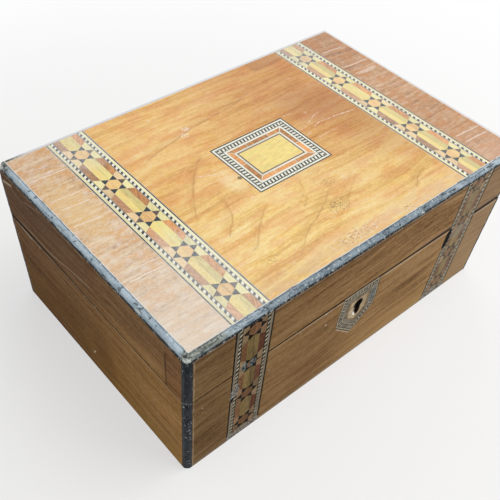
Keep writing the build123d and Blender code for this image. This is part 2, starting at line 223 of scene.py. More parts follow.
def trace(x, y, points, width):
    """A soft line through points in order of their x: 1 along its middle, 0 half its width off."""
    (x0, first), (x1, last) = points[0], points[-1]
    low = min(height for _, height in points)
    rise = max(height for _, height in points) - low
    run = (x - x0) / (x1 - x0)
    stops = [((px - x0) / (x1 - x0), ((py - low) / rise,) * 3) for px, py in points]
    line = run.node("ValToRGB", {"curve": stops}, {0: run}) * rise + low
    slope = math.hypot(x1 - x0, last - first) / (x1 - x0)
    off = abs(y - line) / (width / 2 * slope)
    return (1 - off).at_least(0.0) * run.rise(0.0, 0.2) * (1 - run.rise(0.8, 1.0))


def together(masks):
    """The strongest of several masks at each place."""
    whole = masks[0]
    for mask in masks[1:]:
        whole = whole.at_least(mask)
    return whole


def spots(x, y, places):
    """The strongest of several spots, each with its middle, its radii and perhaps its strength."""
    found = []
    for centre, radii, *much in places:
        mask = spot(x, y, centre, radii)
        found.append(mask * much[0] if much else mask)
    return together(found)


# %% [markdown]
# ## Finishes
#
# Each finish starts the same way: a new material, the place on the piece in millimetres, and a
# shader to feed. Object coordinates are used all through, because every object sits at the origin,
# so the grain stays put when the lid turns.


# %% A finish to build on
class Finish:
    """A material with its shader, and the place on the piece in millimetres."""

    def __init__(self, name, roughness=0.5, shine=0.5):
        self.material = bpy.data.materials.new(name)
        self.material.use_nodes = True
        tree = self.material.node_tree
        self.start = Signal(tree)
        self.skin = tree.nodes["Principled BSDF"]
        self.skin.inputs["Roughness"].default_value = roughness
        self.skin.inputs["Specular IOR Level"].default_value = shine
        place = self.start.node("TexCoord", output="Object")
        place = self.start.node("VectorMath", {"operation": "SCALE"}, {0: place, "Scale": 1 / MM})
        self.x, self.y, self.z = [
            self.start.node("SeparateXYZ", inputs={0: place}, output=axis) for axis in range(3)
        ]

    def feed(self, **sockets):
        """Link signals to the shader's sockets, such as Base_Color=tint."""
        for name, value in sockets.items():
            self.start.tree.links.new(value.socket, self.skin.inputs[name.replace("_", " ")])

    def relief(self, height, depth, strength=1.0):
        """Turn a height from 0 to 1 into bumps that are so many millimetres deep."""
        inputs = {"Height": height, "Distance": depth * MM, "Strength": strength}
        self.feed(Normal=self.start.node("Bump", inputs=inputs))


def add_piece(name, bm):
    """Put a finished bmesh into the scene as an object at the origin."""
    mesh = bpy.data.meshes.new(name)
    bm.to_mesh(mesh)
    bm.free()
    piece = bpy.data.objects.new(name, mesh)
    bpy.context.scene.collection.objects.link(piece)
    return piece


def dress(piece, *finishes):
    """Give a piece these finishes in place of those that it came with."""
    if piece.data.materials:
        piece.data.materials.clear()
    for finish in finishes:
        piece.data.materials.append(finish)


# %% [markdown]
# ## Floor and light
#
# A pale floor and soft light from above show a dark box best. Most of the light falls on the top,
# the front has less and the left side least. Rays that go straight to the camera, or that bounce
# off gloss, see the floor's far part and the world as plain white, while near the box the floor is
# an ordinary matt surface that takes its shadow.

# %% Floor and light
FLOOR_RADIUS = 3.0
SHADOW_INNER = 0.25
SHADOW_OUTER = 0.62
NEAR_GLOW = 0.55
AMBIENT = 0.45
LAMPS = {  # place and size in metres, watts, and colour
    "lamp_above": ((0.42, -0.38, 1.12), 0.9, 8.5, (1.0, 0.985, 0.96)),
    "lamp_behind": ((0.55, 0.75, 0.75), 0.7, 2.0, (0.93, 0.97, 1.0)),
}
LAMPS_AIM = Vector((0.0, 0.0, 0.06))


def seen_directly(signal):
    """1 for rays from the camera or off gloss, and 0 for those that gather scattered light."""
    rays = ("Is Camera Ray", "Is Glossy Ray", "Is Transmission Ray")
    return together([signal.node("LightPath", output=name) for name in rays])


for name, (place, size, watts, colour) in LAMPS.items():
    data = bpy.data.lights.new(name, "AREA")
    data.size, data.energy, data.color = size, watts, colour
    lamp = bpy.data.objects.new(name, data)
    lamp.location = place
    lamp.rotation_euler = (Vector(place) - LAMPS_AIM).to_track_quat("Z", "Y").to_euler()
    bpy.context.scene.collection.objects.link(lamp)

world = bpy.data.worlds.new("studio")
world.use_nodes = True
bpy.context.scene.world = world
straight = seen_directly(Signal(world.node_tree))
background = world.node_tree.nodes["Background"]
background.inputs["Color"].default_value = (1.0, 1.0, 1.0, 1.0)
world.node_tree.links.new((straight * (1 - AMBIENT) + AMBIENT).socket, background.inputs["Strength"])

bm = bmesh.new()
bmesh.ops.create_circle(bm, cap_ends=True, radius=FLOOR_RADIUS, segments=96)
floor = add_piece("floor", bm)
floor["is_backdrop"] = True

paper = Finish("floor_paper", 0.9)
reach = (paper.x * paper.x + paper.y * paper.y) ** 0.5 * MM
glow = seen_directly(paper.start) * (reach.rise(SHADOW_INNER, SHADOW_OUTER) * (1 - NEAR_GLOW) + NEAR_GLOW)
paper.skin.inputs["Base Color"].default_value = (0.88, 0.88, 0.88, 1.0)
white = paper.start.node("Emission", inputs={"Strength": 1.0})
matt = Signal(paper.start.tree, paper.skin.outputs[0])
both = paper.start.node("MixShader", inputs={0: glow, 1: matt, 2: white})
output = paper.start.tree.nodes["Material Output"]
paper.start.tree.links.new(both.socket, output.inputs["Surface"])
dress(floor, paper.material)
print("floor of", FLOOR_RADIUS, "m")

# %% [markdown]
# ## Walnut
#
# Walnut veneer is sliced from a log, so its figure is a slice through the yearly rings. Here a
# ring is an ellipse about a far point on the sheet, bent by slow noise, with a soft shade before
# the thin broken line where it ends. Over that lie fine streaks along the grain, short pores, and
# blotches of lighter and darker colour. All of it is one tone from 0 to 1, which each sheet turns
# into its own colours, and to which it can first add lines of figure of its own.


# %% Walnut
class Walnut(Finish):
    """Walnut with its grain along one axis of the piece and its figure in a tone from 0 to 1."""

    def __init__(self, name, along, across, seed, rings, line=0.15, streak=1.0, gloss=0.42, shine=0.3,
                 coarse=1.0):
        super().__init__(name, gloss, shine)
        a, c = getattr(self, along), getattr(self, across)
        (centre_a, centre_c), squash, spacing = rings
        sway = clouds(a / 90, c / 60, seed, 1.0)
        waver = clouds(a / 16, c / 7, seed + 3.1, 2.0)
        da = a - centre_a
        dc = (c - centre_c) / squash
        phase = (((da * da + dc * dc) ** 0.5) / spacing + sway * 2.4 + waver * 0.16) % 1.0
        broken = clouds(a / 30, c / 18, seed + 7.7, 2.0).rise(0.38, 0.60)
        ring_line = phase.rise(0.90, 0.97) * (1 - phase.rise(0.97, 1.0))
        self.fibre = clouds(a / 34, c / (0.8 * coarse) + sway * 6, seed + 1.3, 3.0, 0.6)
        self.pore = clouds(a / 2.6, c / 0.28, seed + 2.2, 1.0).rise(0.66, 0.74)
        bands = clouds(a / 120, c / 4 + sway * 6, seed + 5.9, 3.0)
        blotch = clouds(a / 55, c / 30, seed + 9.2, 3.0)
        speckle = clouds(a / (2.2 * coarse), c / (1.2 * coarse), seed + 4.4, 2.0)
        tone = 0.5 + (blotch - 0.5) * 0.5 + (bands - 0.5) * 0.8 * streak
        tone = tone + (self.fibre - 0.5) * 0.6 * streak + (speckle - 0.5) * (0.4 * coarse)
        self.tone = tone - ring_line * broken * line - phase * phase * (line * 0.35)

    def stained(self, tones):
        """The tone as a colour, from dark through middle to light, with dark pores over it."""
        stops = [(place, tone) for place, tone in zip((0.12, 0.5, 0.88), tones)]
        tint = self.start.node("ValToRGB", {"stops": stops}, {0: self.tone})
        return mixed(self.pore * 0.35, tint, tones[0])


print("walnut ready")

# %% [markdown]
# ## The top's middle sheet
#
# The middle sheet has faded to the colour of honey, and stays browner towards the back right. Dark
# lines of figure sweep over it from the front left to the back right, and each is a soft line
# through points where it lies on the real lid. Small dark specks, a few pale scuffs, and a wavy
# pale scratch to the right of the cartouche tell of its use. Each of these is a mask, and the last
# step lays their colours over the wood in turn, so it reads as a list of what happened to it.

# %% The top's middle sheet
HONEY = [(0.58, 0.29, 0.06), (0.92, 0.66, 0.265), (1.0, 0.90, 0.54)]
FIGURE = [  # each line's points in millimetres, its width, and how dark it is
    ([(-87, 31), (-80, 36), (-70, 41), (-55, 45), (-40, 48), (-30, 51), (-15, 53), (0, 54.5), (15, 56),
      (25, 59), (35, 62), (50, 65.5)], 2.34, 1.0),
    ([(-86, -29), (-77.5, -17), (-71, -7), (-65, 1), (-59, 8), (-54, 13), (-49, 18), (-44, 21), (-34, 23.5)],
     2.52, 0.9),
    ([(-77.5, -49), (-71, -43), (-65, -38), (-60.6, -32), (-58, -24), (-56, -20), (-52.5, -15.5)], 1.62, 0.9),
    ([(-76, -65.5), (-65, -62), (-57.5, -54), (-51, -49), (-45, -44), (-39, -40), (-34, -37)], 2.16, 0.7),
    ([(-54, -85.5), (-40, -77), (-30, -70.5), (-20, -67), (-10, -62), (-2.5, -58), (5, -53), (10, -50.5)],
     2.16, 0.8),
    ([(-21, -55.5), (-15, -52), (-10, -47), (-6, -38), (-2.5, -33)], 1.8, 0.7),
    ([(0, -43), (6, -38), (16, -34)], 1.62, 0.6),
    ([(-2.5, -77), (9, -67), (20, -59), (26, -55.5), (36, -51)], 1.98, 0.5),
    ([(52.5, -87), (60, -82), (67.5, -78), (76, -76)], 1.62, 0.9),
    ([(54, 88), (59, 81.5), (64, 80), (90, 80.5)], 2.16, 0.8),
    ([(62, 59), (75, 60.5), (90, 62)], 1.62, 0.5),
    ([(-88, 62), (-60, 70), (-20, 76), (30, 78)], 5.4, 0.25),
    ([(-20, 33), (0, 36), (30, 40), (60, 52)], 4.5, 0.3),
]
SHADED = 11  # so many of them have a soft shade behind them
SHADE_OFFSET, SHADE_WIDTH = 3.0, 10.0
BRUISES = [((-11.0, -92.5), (21, 6)), ((-67.5, -76.5), (8, 3.5)), ((35.0, -95.5), (5, 3)),
           ((23.0, 62.6), (3, 2.4))]
SCUFFS = [((-8.0, -93.0), (34, 9), 1.7), ((-55.0, -82.0), (24, 9), 0.6), ((-46.0, 3.5), (12, 4), 1.0),
          ((70.0, 58.0), (8, 3), 1.0), ((22.5, -50.0), (6, 3), 1.2), ((64.0, -83.0), (7, 4), 1.0),
          ((-14.0, -73.5), (8, 4), 0.9), ((-46.3, 75.8), (3, 2), 2.0), ((50.0, 5.0), (14, 10), 0.5)]
BLOTS = [((-31.3, 53.0), (3.6, 2.6)), ((-35.8, 47.6), (3.6, 2.8)), ((52.5, 18.3), (1.4, 1.4)),
         ((-40.5, -29.0), (1.4, 1.8))]
SCRATCHES = [
    ([(42, 4.0), (45, 7.5), (48, 9), (55, 12), (62, 13)], 0.9), ([(32, -1.8), (38, -1.9), (42, 0)], 0.8),
    ([(42, 0), (47.5, 2.6), (52.5, 3.9), (57.5, 3.3), (65, 3), (72.5, 2), (80, 0.8), (89, 0.5)], 1.3),
    ([(36, -9.3), (47.5, -8.6), (60, -9.3)], 0.7), ([(34, 23.2), (38, 23.9), (44, 23.6)], 0.8),
    ([(34, 5.2), (38, 4.9), (42, 5.8)], 0.7), ([(-58, 8), (-48.8, 4.5), (-43, 2)], 1.0),
]
top_middle = Walnut("walnut_top_middle", "x", "y", 1.0, ((77.5, -77.6), 0.8, 21.0), 0.0, 0.85,
                    shine=0.2, coarse=0.9)
x, y = top_middle.x, top_middle.y
bent = y + (clouds(x / 9, y / 9, 14.0, 2.0) - 0.5) * 2.0
lines = together([trace(x, bent, points, width) * dark for points, width, dark in FIGURE])
lines = lines * clouds(x / 11, y / 11, 20.0, 2.0).rise(0.28, 0.56)
shades = together([trace(x, bent - SHADE_OFFSET, points, SHADE_WIDTH) * dark
                   for points, _, dark in FIGURE[:SHADED]])
flush = clouds(x / 24, y / 10, 15.0, 3.0, 0.6).rise(0.44, 0.62)
gilt = clouds(x / 16, y / 7, 18.0, 3.0, 0.6).rise(0.50, 0.66)
mottle = clouds(x / 4.5, y / 2.6, 16.0, 3.0, 0.6).rise(0.42, 0.60)
brown = x.rise(-55.0, 70.0) * (y.rise(-85.0, 30.0) * 0.7 + 0.3)
ruddy = spot(x, y, (64.0, 26.0), (34, 30)).at_least(x.rise(55.0, 59.0) * y.rise(79.5, 81.5))
rubbed = (1 - y.rise(-100.0, -76.0)) * clouds(x / 12, y / 6, 17.0, 3.0).rise(0.25, 0.6)
pale = spot(x, y, (-40.5, -9.5), (9, 15)) * clouds(x / 4, y / 4, 19.0, 3.0, 0.6).rise(0.30, 0.55)
bruised = clouds(x / 2.4, y / 1.4, 26.0, 3.0).rise(0.50, 0.62) * spots(x, y, BRUISES)

thick = clouds(x / 0.9, y / 0.8, 6.0, 2.0).rise(0.55, 0.62) * spot(x, y, (-2.5, -66.5), (4.5, 4)) * 2
dense = clouds(x / 1.3, y / 1.0, 4.0, 2.0).rise(0.54, 0.64).at_least(thick)
around = (spot(x, y, (-0.5, -67.0), (11, 8)) * 1.3 + spot(x, y, (10.0, -47.0), (6.5, 5)) * 1.2).at_most(1.0)
specks = (dense * around).at_least(spot(x, y, (-34.6, -9.3), (1.8, 1.8)).rise(0.0, 0.4))

scuff = clouds(x / 3.0, y / 1.8, 8.0, 4.0, 0.7).rise(0.54, 0.68)
scuffed = (scuff * (spots(x, y, SCUFFS) + 0.14)).at_most(1.0)
blots = spots(x, y, BLOTS).rise(0.0, 0.5) * clouds(x / 1.4, y / 1.4, 27.0, 3.0).rise(0.44, 0.60)
ripple = (clouds(x / 5, y / 40, 5.0, 2.0) - 0.5) * 1.4
worn_out = clouds(x / 2.2, y / 2.2, 28.0, 3.0).rise(0.40, 0.58)
scratches = together([trace(x, y + ripple, points, width) for points, width in SCRATCHES])
wear = (scuffed * 0.6 + scratches * (worn_out * 0.8 + 0.15) + blots * 0.7).at_most(1.0)
tint = layered(
    top_middle.stained(HONEY),
    (flush * 0.9, (0.95, 0.80, 0.80), STAIN),
    (gilt * 0.6, (1.0, 0.95, 0.70), STAIN),
    (mottle * 0.3, (0.88, 0.80, 0.70), STAIN),
    (y.rise(-50.0, 5.0) * 0.9, (0.93, 0.81, 0.72), STAIN),
    (brown, (0.74, 0.60, 0.52), STAIN),
    (ruddy * 0.8, (0.80, 0.72, 0.80), STAIN),
    (rubbed * 0.55, (0.72, 0.52, 0.34)),
    (shades * 0.45, (0.80, 0.68, 0.56), STAIN),
    (lines * 0.70, (0.46, 0.22, 0.075)),
    (spot(x, y, (95.0, -20.0), (45, 60)), (0.82, 0.76, 0.77), STAIN),
    (pale * 0.6, (0.96, 0.83, 0.50)),
    (bruised * 0.7, (0.36, 0.16, 0.09)),
    (specks * 0.8, (0.13, 0.085, 0.055)),
    (wear, (0.93, 0.83, 0.74)),
)
top_middle.feed(Base_Color=tint, Roughness=0.36 + scuffed * 0.25 + top_middle.fibre * 0.12)
top_middle.relief(top_middle.fibre * 0.5 - top_middle.pore * 0.5 + scuffed * 0.4 - scratches * 0.5, 0.05)
dress(nodes["top_veneer_middle"], top_middle.material)
print("figure lines", len(FIGURE))

# %% [markdown]
# ## The top's end sheets
#
# The left end is a pinker, paler walnut, palest towards the front where hands have worn its polish
# away. The right end is redder and darker. Fine pale scratches run along both, where things were
# slid over the lid.

# %% The top's end sheets
END_TONES = {
    "left": [(0.44, 0.24, 0.12), (0.76, 0.56, 0.36), (0.92, 0.78, 0.60)],
    "right": [(0.30, 0.15, 0.075), (0.52, 0.31, 0.175), (0.70, 0.48, 0.32)],
}
END_WARM = {"left": (0.74, 0.41, 0.16), "right": (0.54, 0.25, 0.10)}
END_WEAR = {"left": ((0.82, 0.76, 0.68), -110.0, 10.0), "right": ((0.68, 0.44, 0.32), -110.0, -55.0)}
END_FLECKS = {"left": 0.28, "right": 0.08}
END_SCRATCHES = {  # how far behind the middle each long scratch across the sheet lies, in millimetres
    "left": (66.0, 42.0, 32.0, 15.0, -41.0, -34.0),
    "right": (44.0, 33.0, 31.0, 69.0, -67.0, -75.0),
}
for seed, (side, tones) in enumerate(END_TONES.items()):
    sheet = Walnut(f"walnut_top_{side}", "x", "y", 11.0 + seed, ((150.0, 60.0), 0.6, 16.0), 0.05, 1.3,
                   shine=0.2, coarse=1.8)
    x, y = sheet.x, sheet.y
    low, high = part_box(f"top_veneer_{side}")
    left, right = low.x / MM, high.x / MM
    pale, worn_most, worn_least = END_WEAR[side]
    fleck = END_FLECKS[side]
    sweep = (clouds(x / 9, y / 14, 3.0 + seed, 2.0) - 0.5) * 4.0
    scratch = clouds(x / 20, y / 0.6 + sweep, 21.0 + seed, 1.0).rise(0.70, 0.78)
    scratch = scratch * clouds(x / 12, y / 9, 31.0 + seed, 1.0).rise(0.45, 0.60)
    long = together([
        stroke(x, y + sweep * 0.6, (left + 1 + index % 3, back), (right - 2 * (index % 4), back - 1.5), 1.0)
        for index, back in enumerate(END_SCRATCHES[side])])
    haze = clouds(x / 7, y / 5, 41.0 + seed, 4.0, 0.7).rise(0.50, 0.80)
    flecks = clouds(x / 1.7, y / 1.5, 45.0 + seed, 3.0, 0.6).rise(0.52, 0.64)
    warm = clouds(x / 13, y / 6, 51.0 + seed, 4.0, 0.65).rise(0.44, 0.60)
    bloom = clouds(x / 8, y / 6, 55.0 + seed, 4.0, 0.65).rise(0.50, 0.64)
    tint = layered(
        sheet.stained(tones),
        (warm * 0.75, END_WARM[side]),
        (bloom * (fleck * 1.5), (0.80, 0.68, 0.64)),
        ((1 - y.rise(worn_most, worn_least)) * 0.6, pale),
        (y.rise(35.0, 90.0) * 0.8, (0.86, 0.78, 0.72), STAIN),
        (spot(x, y, (-135.0, 28.0), (16, 40)) * 0.7, (0.80, 0.55, 0.25)),
        ((scratch * 0.6 + long * 0.9 + haze * fleck + flecks * fleck).at_most(1.0), (0.93, 0.86, 0.80)),
    )
    sheet.feed(Base_Color=tint, Roughness=0.40 + scratch * 0.25 + sheet.fibre * 0.12)
    sheet.relief(sheet.fibre * 0.5 - sheet.pore * 0.5 - long * 0.5, 0.05)
    dress(nodes[f"top_veneer_{side}"], sheet.material)
print("top dressed")

# %% [markdown]
# ## The front and the ends
#
# Light has faded the sides less than the top, so they are a darker brown. The grain runs level all
# round the box. The front is golden brown and gets darker towards its left end with painted shade,
# and the left end is darker still, and darkest at the back with painted shade. Where the saw parted
# lid from base, the crack between them is a line of painted shade, the base's rim shows a thin pale
# line, which on the left end is a painted highlight, and knocks have chipped pale spots out of the polish.

# %% The front
SEAM = (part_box("base_front_veneer_middle")[1].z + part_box("lid_front_veneer_middle")[0].z) / 2 / MM
BROWN = [(0.13, 0.060, 0.022), (0.360, 0.208, 0.090), (0.52, 0.35, 0.18)]
FRONT_CHIPS = [(-61.5, 77.4, 1.1), (-36.0, 66.0, 2.2), (-38.4, 79.0, 1.5), (-140.5, 68.0, 1.0),
               (-86.0, 58.0, 1.2)]
FRONT_FIGURE = [  # dark lines that climb to the right over lid and base
    ((-50.0, 95.0), (24.0, 118.5), -2.0),
    ((-14.0, 84.0), (60.0, 109.0), -3.0),
    ((-86.0, 100.0), (-20.0, 112.0), 2.0),
    ((24.0, 84.0), (88.0, 104.0), -2.0),
    ((-86.0, 32.0), (20.0, 44.0), -6.0),
    ((-60.0, 14.0), (86.0, 38.0), 3.0),
    ((18.0, 52.0), (88.0, 60.0), 2.0),
]


def seam_lines(finish, along, seed, left, right, rim):
    """Painted shade in the crack between lid and base, wider from left to right, and the pale rim below it.
    """
    rough = clouds(along / 14, along / 40, seed, 3.0)
    half = (along + 150) / 300 * (right - left) + left + (rough - 0.5) * 0.6
    dark = ridge(finish.z, SEAM, half).rise(0.0, 0.35)
    pale = (1 - abs(finish.z - (SEAM - 0.7) + half) / rim).at_least(0.0) * rough.rise(0.28, 0.50)
    return dark, pale


def chips(a, c, places, seed):
    """Small ragged pale spots, each given by its place and its size across."""
    ragged = (clouds(a / 0.9, c / 0.9, seed, 2.0) - 0.5) * 2.0
    whole = spots(a, c, [((pa, pc), (size / 2, size / 2)) for pa, pc, size in places])
    return (whole + ragged).rise(0.35, 0.6)


front = Walnut("walnut_front", "x", "z", 51.0, ((90.0, -160.0), 0.5, 24.0), 0.16, 0.95, 0.40, 0.004,
               coarse=1.2)
x, z = front.x, front.z
drift = (clouds(x / 13, z / 10, 52.0, 2.0) - 0.5) * 3.0
lines = together([stroke(x, z + drift, start, end, 2.4, bow) for start, end, bow in FRONT_FIGURE])
front.tone = front.tone - lines * 0.20
golden = (1 - z.rise(2.0, 45.0)) * x.rise(-60.0, 60.0)
# painted shade: a grey band just above the seam at the right
haze = z.rise(81.8, 82.8) * (1 - z.rise(83.5, 86.0)) * x.rise(40.0, 70.0)
# painted shade in the hollow where a length of stringing is lost
gap = spot(x, z, (89.0, 70.5), (1.8, 10.5)).rise(0.1, 0.4)
# painted shade in the crack between lid and base, and the pale rim below it
seam_shade, rim = seam_lines(front, x, 54.0, 0.6, 2.2, 1.1)
dashes = clouds(x / 5, z / 5, 57.0, 3.0).rise(0.28, 0.55)
beside_strips = ridge(x, -147.1, 0.6).at_least(ridge(z, 121.2, 0.8))
rim = together([rim * x.rise(-110.0, -30.0) * 0.75, beside_strips * dashes * 0.5,
                # painted highlight along the shield's lower left edge
                stroke(x, z, (-23.8, 51.2), (-4.6, 33.4), 1.2)])
chipped = chips(x, z, FRONT_CHIPS, 53.0)
tint = layered(
    front.stained(BROWN),
    # painted shade: darker towards the left end
    ((1 - x.rise(-150.0, 60.0)) * 0.9, (0.62, 0.60, 0.54), STAIN),
    (1 - x.rise(-122.0, -118.0), (0.88, 0.92, 0.98), STAIN),
    (z.rise(84.0, 120.0) * 0.5, (0.86, 0.84, 0.84), STAIN),
    (golden * 0.55, (0.50, 0.315, 0.125)),
    (x.rise(112.0, 122.0) * 0.45, (0.36, 0.26, 0.17)),
    (haze * 0.55, (0.16, 0.12, 0.13)),
    (z.rise(116.5, 120.0) * 0.5, (0.07, 0.035, 0.02)),
    (rim, (0.62, 0.50, 0.38)),
    # painted shade in the crack and in the hollow of the lost stringing
    ((seam_shade * 0.9).at_least(gap), (0.022, 0.014, 0.009)),
    ((1 - z.rise(0.5, 5.0)) * 0.5, (0.34, 0.30, 0.25)),
    (chipped * 0.9, (0.85, 0.75, 0.62)),
)
front.feed(Base_Color=tint, Roughness=0.36 + front.fibre * 0.12)
front.relief(front.fibre * 0.5 - front.pore * 0.5 - chipped * 0.6, 0.05)

# %% The ends
DEEP = [(0.15, 0.070, 0.020), (0.390, 0.212, 0.074), (0.56, 0.34, 0.135)]
END_CHIPS = [(1.2, 19.7, 2.0), (-11.0, 80.8, 1.2), (1.0, 80.0, 1.0), (57.0, 78.5, 1.2)]
PATCH_EDGE = -85.6  # a joint in the lid's end, and what lies in front of it
end = Walnut("walnut_ends", "y", "z", 61.0, ((60.0, -190.0), 0.5, 30.0), 0.10, 0.9, 0.42, 0.004, coarse=1.3)
y, z = end.y, end.z
seam_shade, rim = seam_lines(end, y, 66.0, 0.3, 1.3, 0.8)
# painted shade: a dark band on the lid just above the seam, towards the back
shade_above_seam = ridge(z, SEAM + 1.6, 2.2) * y.rise(0.0, 70.0)
patch = (1 - y.rise(PATCH_EDGE - 0.4, PATCH_EDGE + 0.4)) * z.rise(SEAM - 0.1, SEAM + 0.1)
joint_line = ridge(y, PATCH_EDGE, 1.6) * z.rise(SEAM, SEAM + 1.0) * (1 - z.rise(112.0, 116.0))
long = together([
    trace(y, z, [(-21, 97.7), (0, 95.0), (20, 91.3), (38.7, 86.9), (65, 86.2), (93, 85.5)], 1.5) * 0.7,
    stroke(y, z, (66.0, 77.8), (82.0, 79.8), 1.8),
    stroke(y, z, (42.0, 120.0), (66.0, 113.0), 0.9) * 0.7,
    stroke(y, z, (79.0, 116.6), (95.0, 112.0), 2.4) * 1.4,
    stroke(y, z, (-0.9, 22.6), (3.1, 16.8), 1.8) * 1.6,
    ridge(z, 120.9, 0.6) * clouds(y / 6, z / 6, 67.0, 3.0).rise(0.42, 0.60) * 0.6,
    # painted highlight along the base's rim below the seam
    rim * (y.rise(20.0, 60.0) * 0.4 + 0.5),
]).at_most(1.0)
chipped = chips(y, z, END_CHIPS, 63.0)
tint = layered(
    end.stained(DEEP),
    # painted shade: darker towards the back
    (y.rise(-85.0, 50.0), (0.52, 0.49, 0.58), STAIN),
    (z.rise(66.0, 112.0), (0.74, 0.76, 0.96), STAIN),
    ((1 - z.rise(10.0, 75.0)) * y.rise(-70.0, -30.0), (0.96, 0.92, 0.66), STAIN),
    (spot(y, z, (-14.0, 26.0), (16, 30)) * 0.6, (0.62, 0.52, 0.50), STAIN),
    (seam_shade.at_least(shade_above_seam) * 0.9, (0.016, 0.010, 0.006)),
    ((1 - z.rise(2.0, 26.0)) * (1 - y.rise(-90.0, 30.0)) * 0.6, (0.44, 0.26, 0.07)),
    (patch * 0.5, (0.80, 0.66, 0.70), STAIN),
    (joint_line * 0.7, (0.035, 0.020, 0.012)),
    (long, (0.52, 0.42, 0.30)),
    (chipped * 0.9, (0.90, 0.82, 0.62)),
    (z.rise(121.2, 122.0) * 0.6, (0.03, 0.018, 0.01)),
)
end.feed(Base_Color=tint, Roughness=0.38 + end.fibre * 0.12)
end.relief(end.fibre * 0.5 - end.pore * 0.5 - chipped * 0.6, 0.05)
for name, piece in nodes.items():
    if "front_veneer" in name:
        dress(piece, front.material)
    elif name.endswith(("left_veneer", "right_veneer")):
        dress(piece, end.material)
print("sides dressed, seam at", round(SEAM, 2), "mm")

# %% [markdown]
# ## Worn edging
#
# Black-stained strips guard the edges, and an old box has taken its knocks there. The strips that
# came ready made are sharp and even, so each is copied, cut into short lengths, and its corner is
# pushed in here a little and there a lot. One rule says how far any place near the box's outer
# corners is worn, so strips that meet are worn alike and no gap opens between them. How far each
# point went is kept on the mesh, and the finish shows pale wood where that is much.

# %% Shapes of the worn edging
SLICE = 1.6
WEAR_REACH = 3.0
SOFT_WEAR = 0.45
FINE_WEAR = 1.3
FINE_THROW = Vector((40.0, 0.0, 0.0))  # takes the fine noise far from the soft one
FAR_WEAR = 1.3  # the top's back and right edges are rubbed round
DEEPEST_WEAR = 2.6
KNOCKS = [  # the worst knocks: place, size and depth, all in millimetres
    ((-152.5, -104.6, 118.0), 5.0, 1.0),
    ((-152.5, -104.6, 81.6), 4.0, 1.2),
    ((-152.5, -104.6, 125.0), 7.0, 1.4),
    ((-152.5, 97.3, 125.0), 12.0, 2.2),
    ((-152.5, 97.3, 81.6), 6.0, 1.0),
    ((-152.5, 72.0, 125.0), 6.0, 1.0),
    ((-152.5, 20.0, 125.0), 5.0, 0.8),
    ((-152.5, -60.0, 125.0), 5.0, 0.8),
    ((152.5, -104.6, 125.0), 8.0, 1.5),
    ((152.5, -104.6, 81.6), 4.0, 1.0),
    ((152.5, 97.3, 125.0), 8.0, 1.5),
    ((-152.5, -104.6, 2.0), 6.0, 1.0),
    ((40.0, -104.6, 125.0), 5.0, 0.7),
    ((-90.0, -104.6, 125.0), 5.0, 0.6),
]
box_low, box_high = cad_box[0] / MM, cad_box[1] / MM
front_y, back_y = box_low.y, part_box("top_edging_back")[1].y / MM


def worn(place):
    """Which way and how far a place in the box is worn in, in millimetres."""
    gaps = (box_high.x - abs(place.x), min(place.y - front_y, back_y - place.y), box_high.z - place.z)
    near = [max(0.0, 1.0 - gap / WEAR_REACH) for gap in gaps]
    inward = (-math.copysign(1.0, place.x), 1.0 if place.y < 0 else -1.0, -1.0)
    soft = 0.5 + 0.5 * noise.noise(place / 8.0)
    fine = max(0.0, noise.noise(place / 2.6 + FINE_THROW) - 0.12)
    depth = SOFT_WEAR * soft + FINE_WEAR * fine
    for spot_at, size, knock in KNOCKS:
        gap = (place - Vector(spot_at)).length / size
        depth += knock * max(0.0, 1.0 - gap) * (0.7 + 0.6 * soft)
    if near[2] and (place.y > back_y - WEAR_REACH or place.x > box_high.x - WEAR_REACH):
        depth += FAR_WEAR * (0.7 + 0.6 * soft)
    depth = min(depth, DEEPEST_WEAR)
    others = [max(near[(axis + 1) % 3], near[(axis + 2) % 3]) for axis in range(3)]
    return Vector([inward[axis] * near[axis] * others[axis] * depth for axis in range(3)])


def worn_strip(node, body):
    """A copy of a strip with its outer corner worn."""
    bm = bmesh.new()
    bm.from_mesh(nodes[node].data)
    bmesh.ops.transform(bm, matrix=Matrix.Scale(1 / MM, 4), verts=bm.verts[:])
    bmesh.ops.remove_doubles(bm, verts=bm.verts[:], dist=0.001)
    bmesh.ops.dissolve_limit(bm, angle_limit=math.radians(1.0), verts=bm.verts[:], edges=bm.edges[:])
    low, high = [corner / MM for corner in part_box(node)]
    size = high - low
    run = max(range(3), key=lambda axis: size[axis])
    for axis in range(3):
        step = SLICE if axis == run else WEAR_REACH / 3
        direction = Vector([float(index == axis) for index in range(3)])
        count = int(size[axis] / step)
        for cut in range(1, count + 1):
            place = low + direction * (size[axis] * cut / (count + 1))
            geom = bm.verts[:] + bm.edges[:] + bm.faces[:]
            bmesh.ops.bisect_plane(bm, geom=geom, plane_co=place, plane_no=direction)
    wear = bm.verts.layers.float.new("wear")
    for vert in bm.verts:
        push = worn(vert.co)
        vert[wear] = push.length
        vert.co += push
    bmesh.ops.transform(bm, matrix=Matrix.Scale(MM, 4), verts=bm.verts[:])
    strip = add_piece(f"worn_{node}", bm)
    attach(strip, body)
    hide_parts(node)
    return strip


worn_strips = {}
for name in sorted(nodes):
    if "edging" in name or "corner_strip" in name:
        worn_strips[name] = worn_strip(name, "base" if name.startswith("base") else "lid")
print("worn strips", len(worn_strips), "faces", sum(len(s.data.polygons) for s in worn_strips.values()))

# %% [markdown]
# ## The edging's finish
#
# The polish is black on upright faces. On top it is a blue grey that is partly chalky wear and dust
# and partly a painted reflection of the bright sky, and a painted highlight runs along the rounded
# top of the upright faces.
# Pale wood shows along the knocked corners, in little flecks, and as a thin line of dried glue
# beside the veneer. The far edges are rubbed round and paler, and the left corners are grimy.


# %% The edging's finish
TOP = box_high.z
VENEER_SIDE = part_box("top_veneer_right")[1].x / MM
VENEER_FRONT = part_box("top_veneer_middle")[0].y / MM


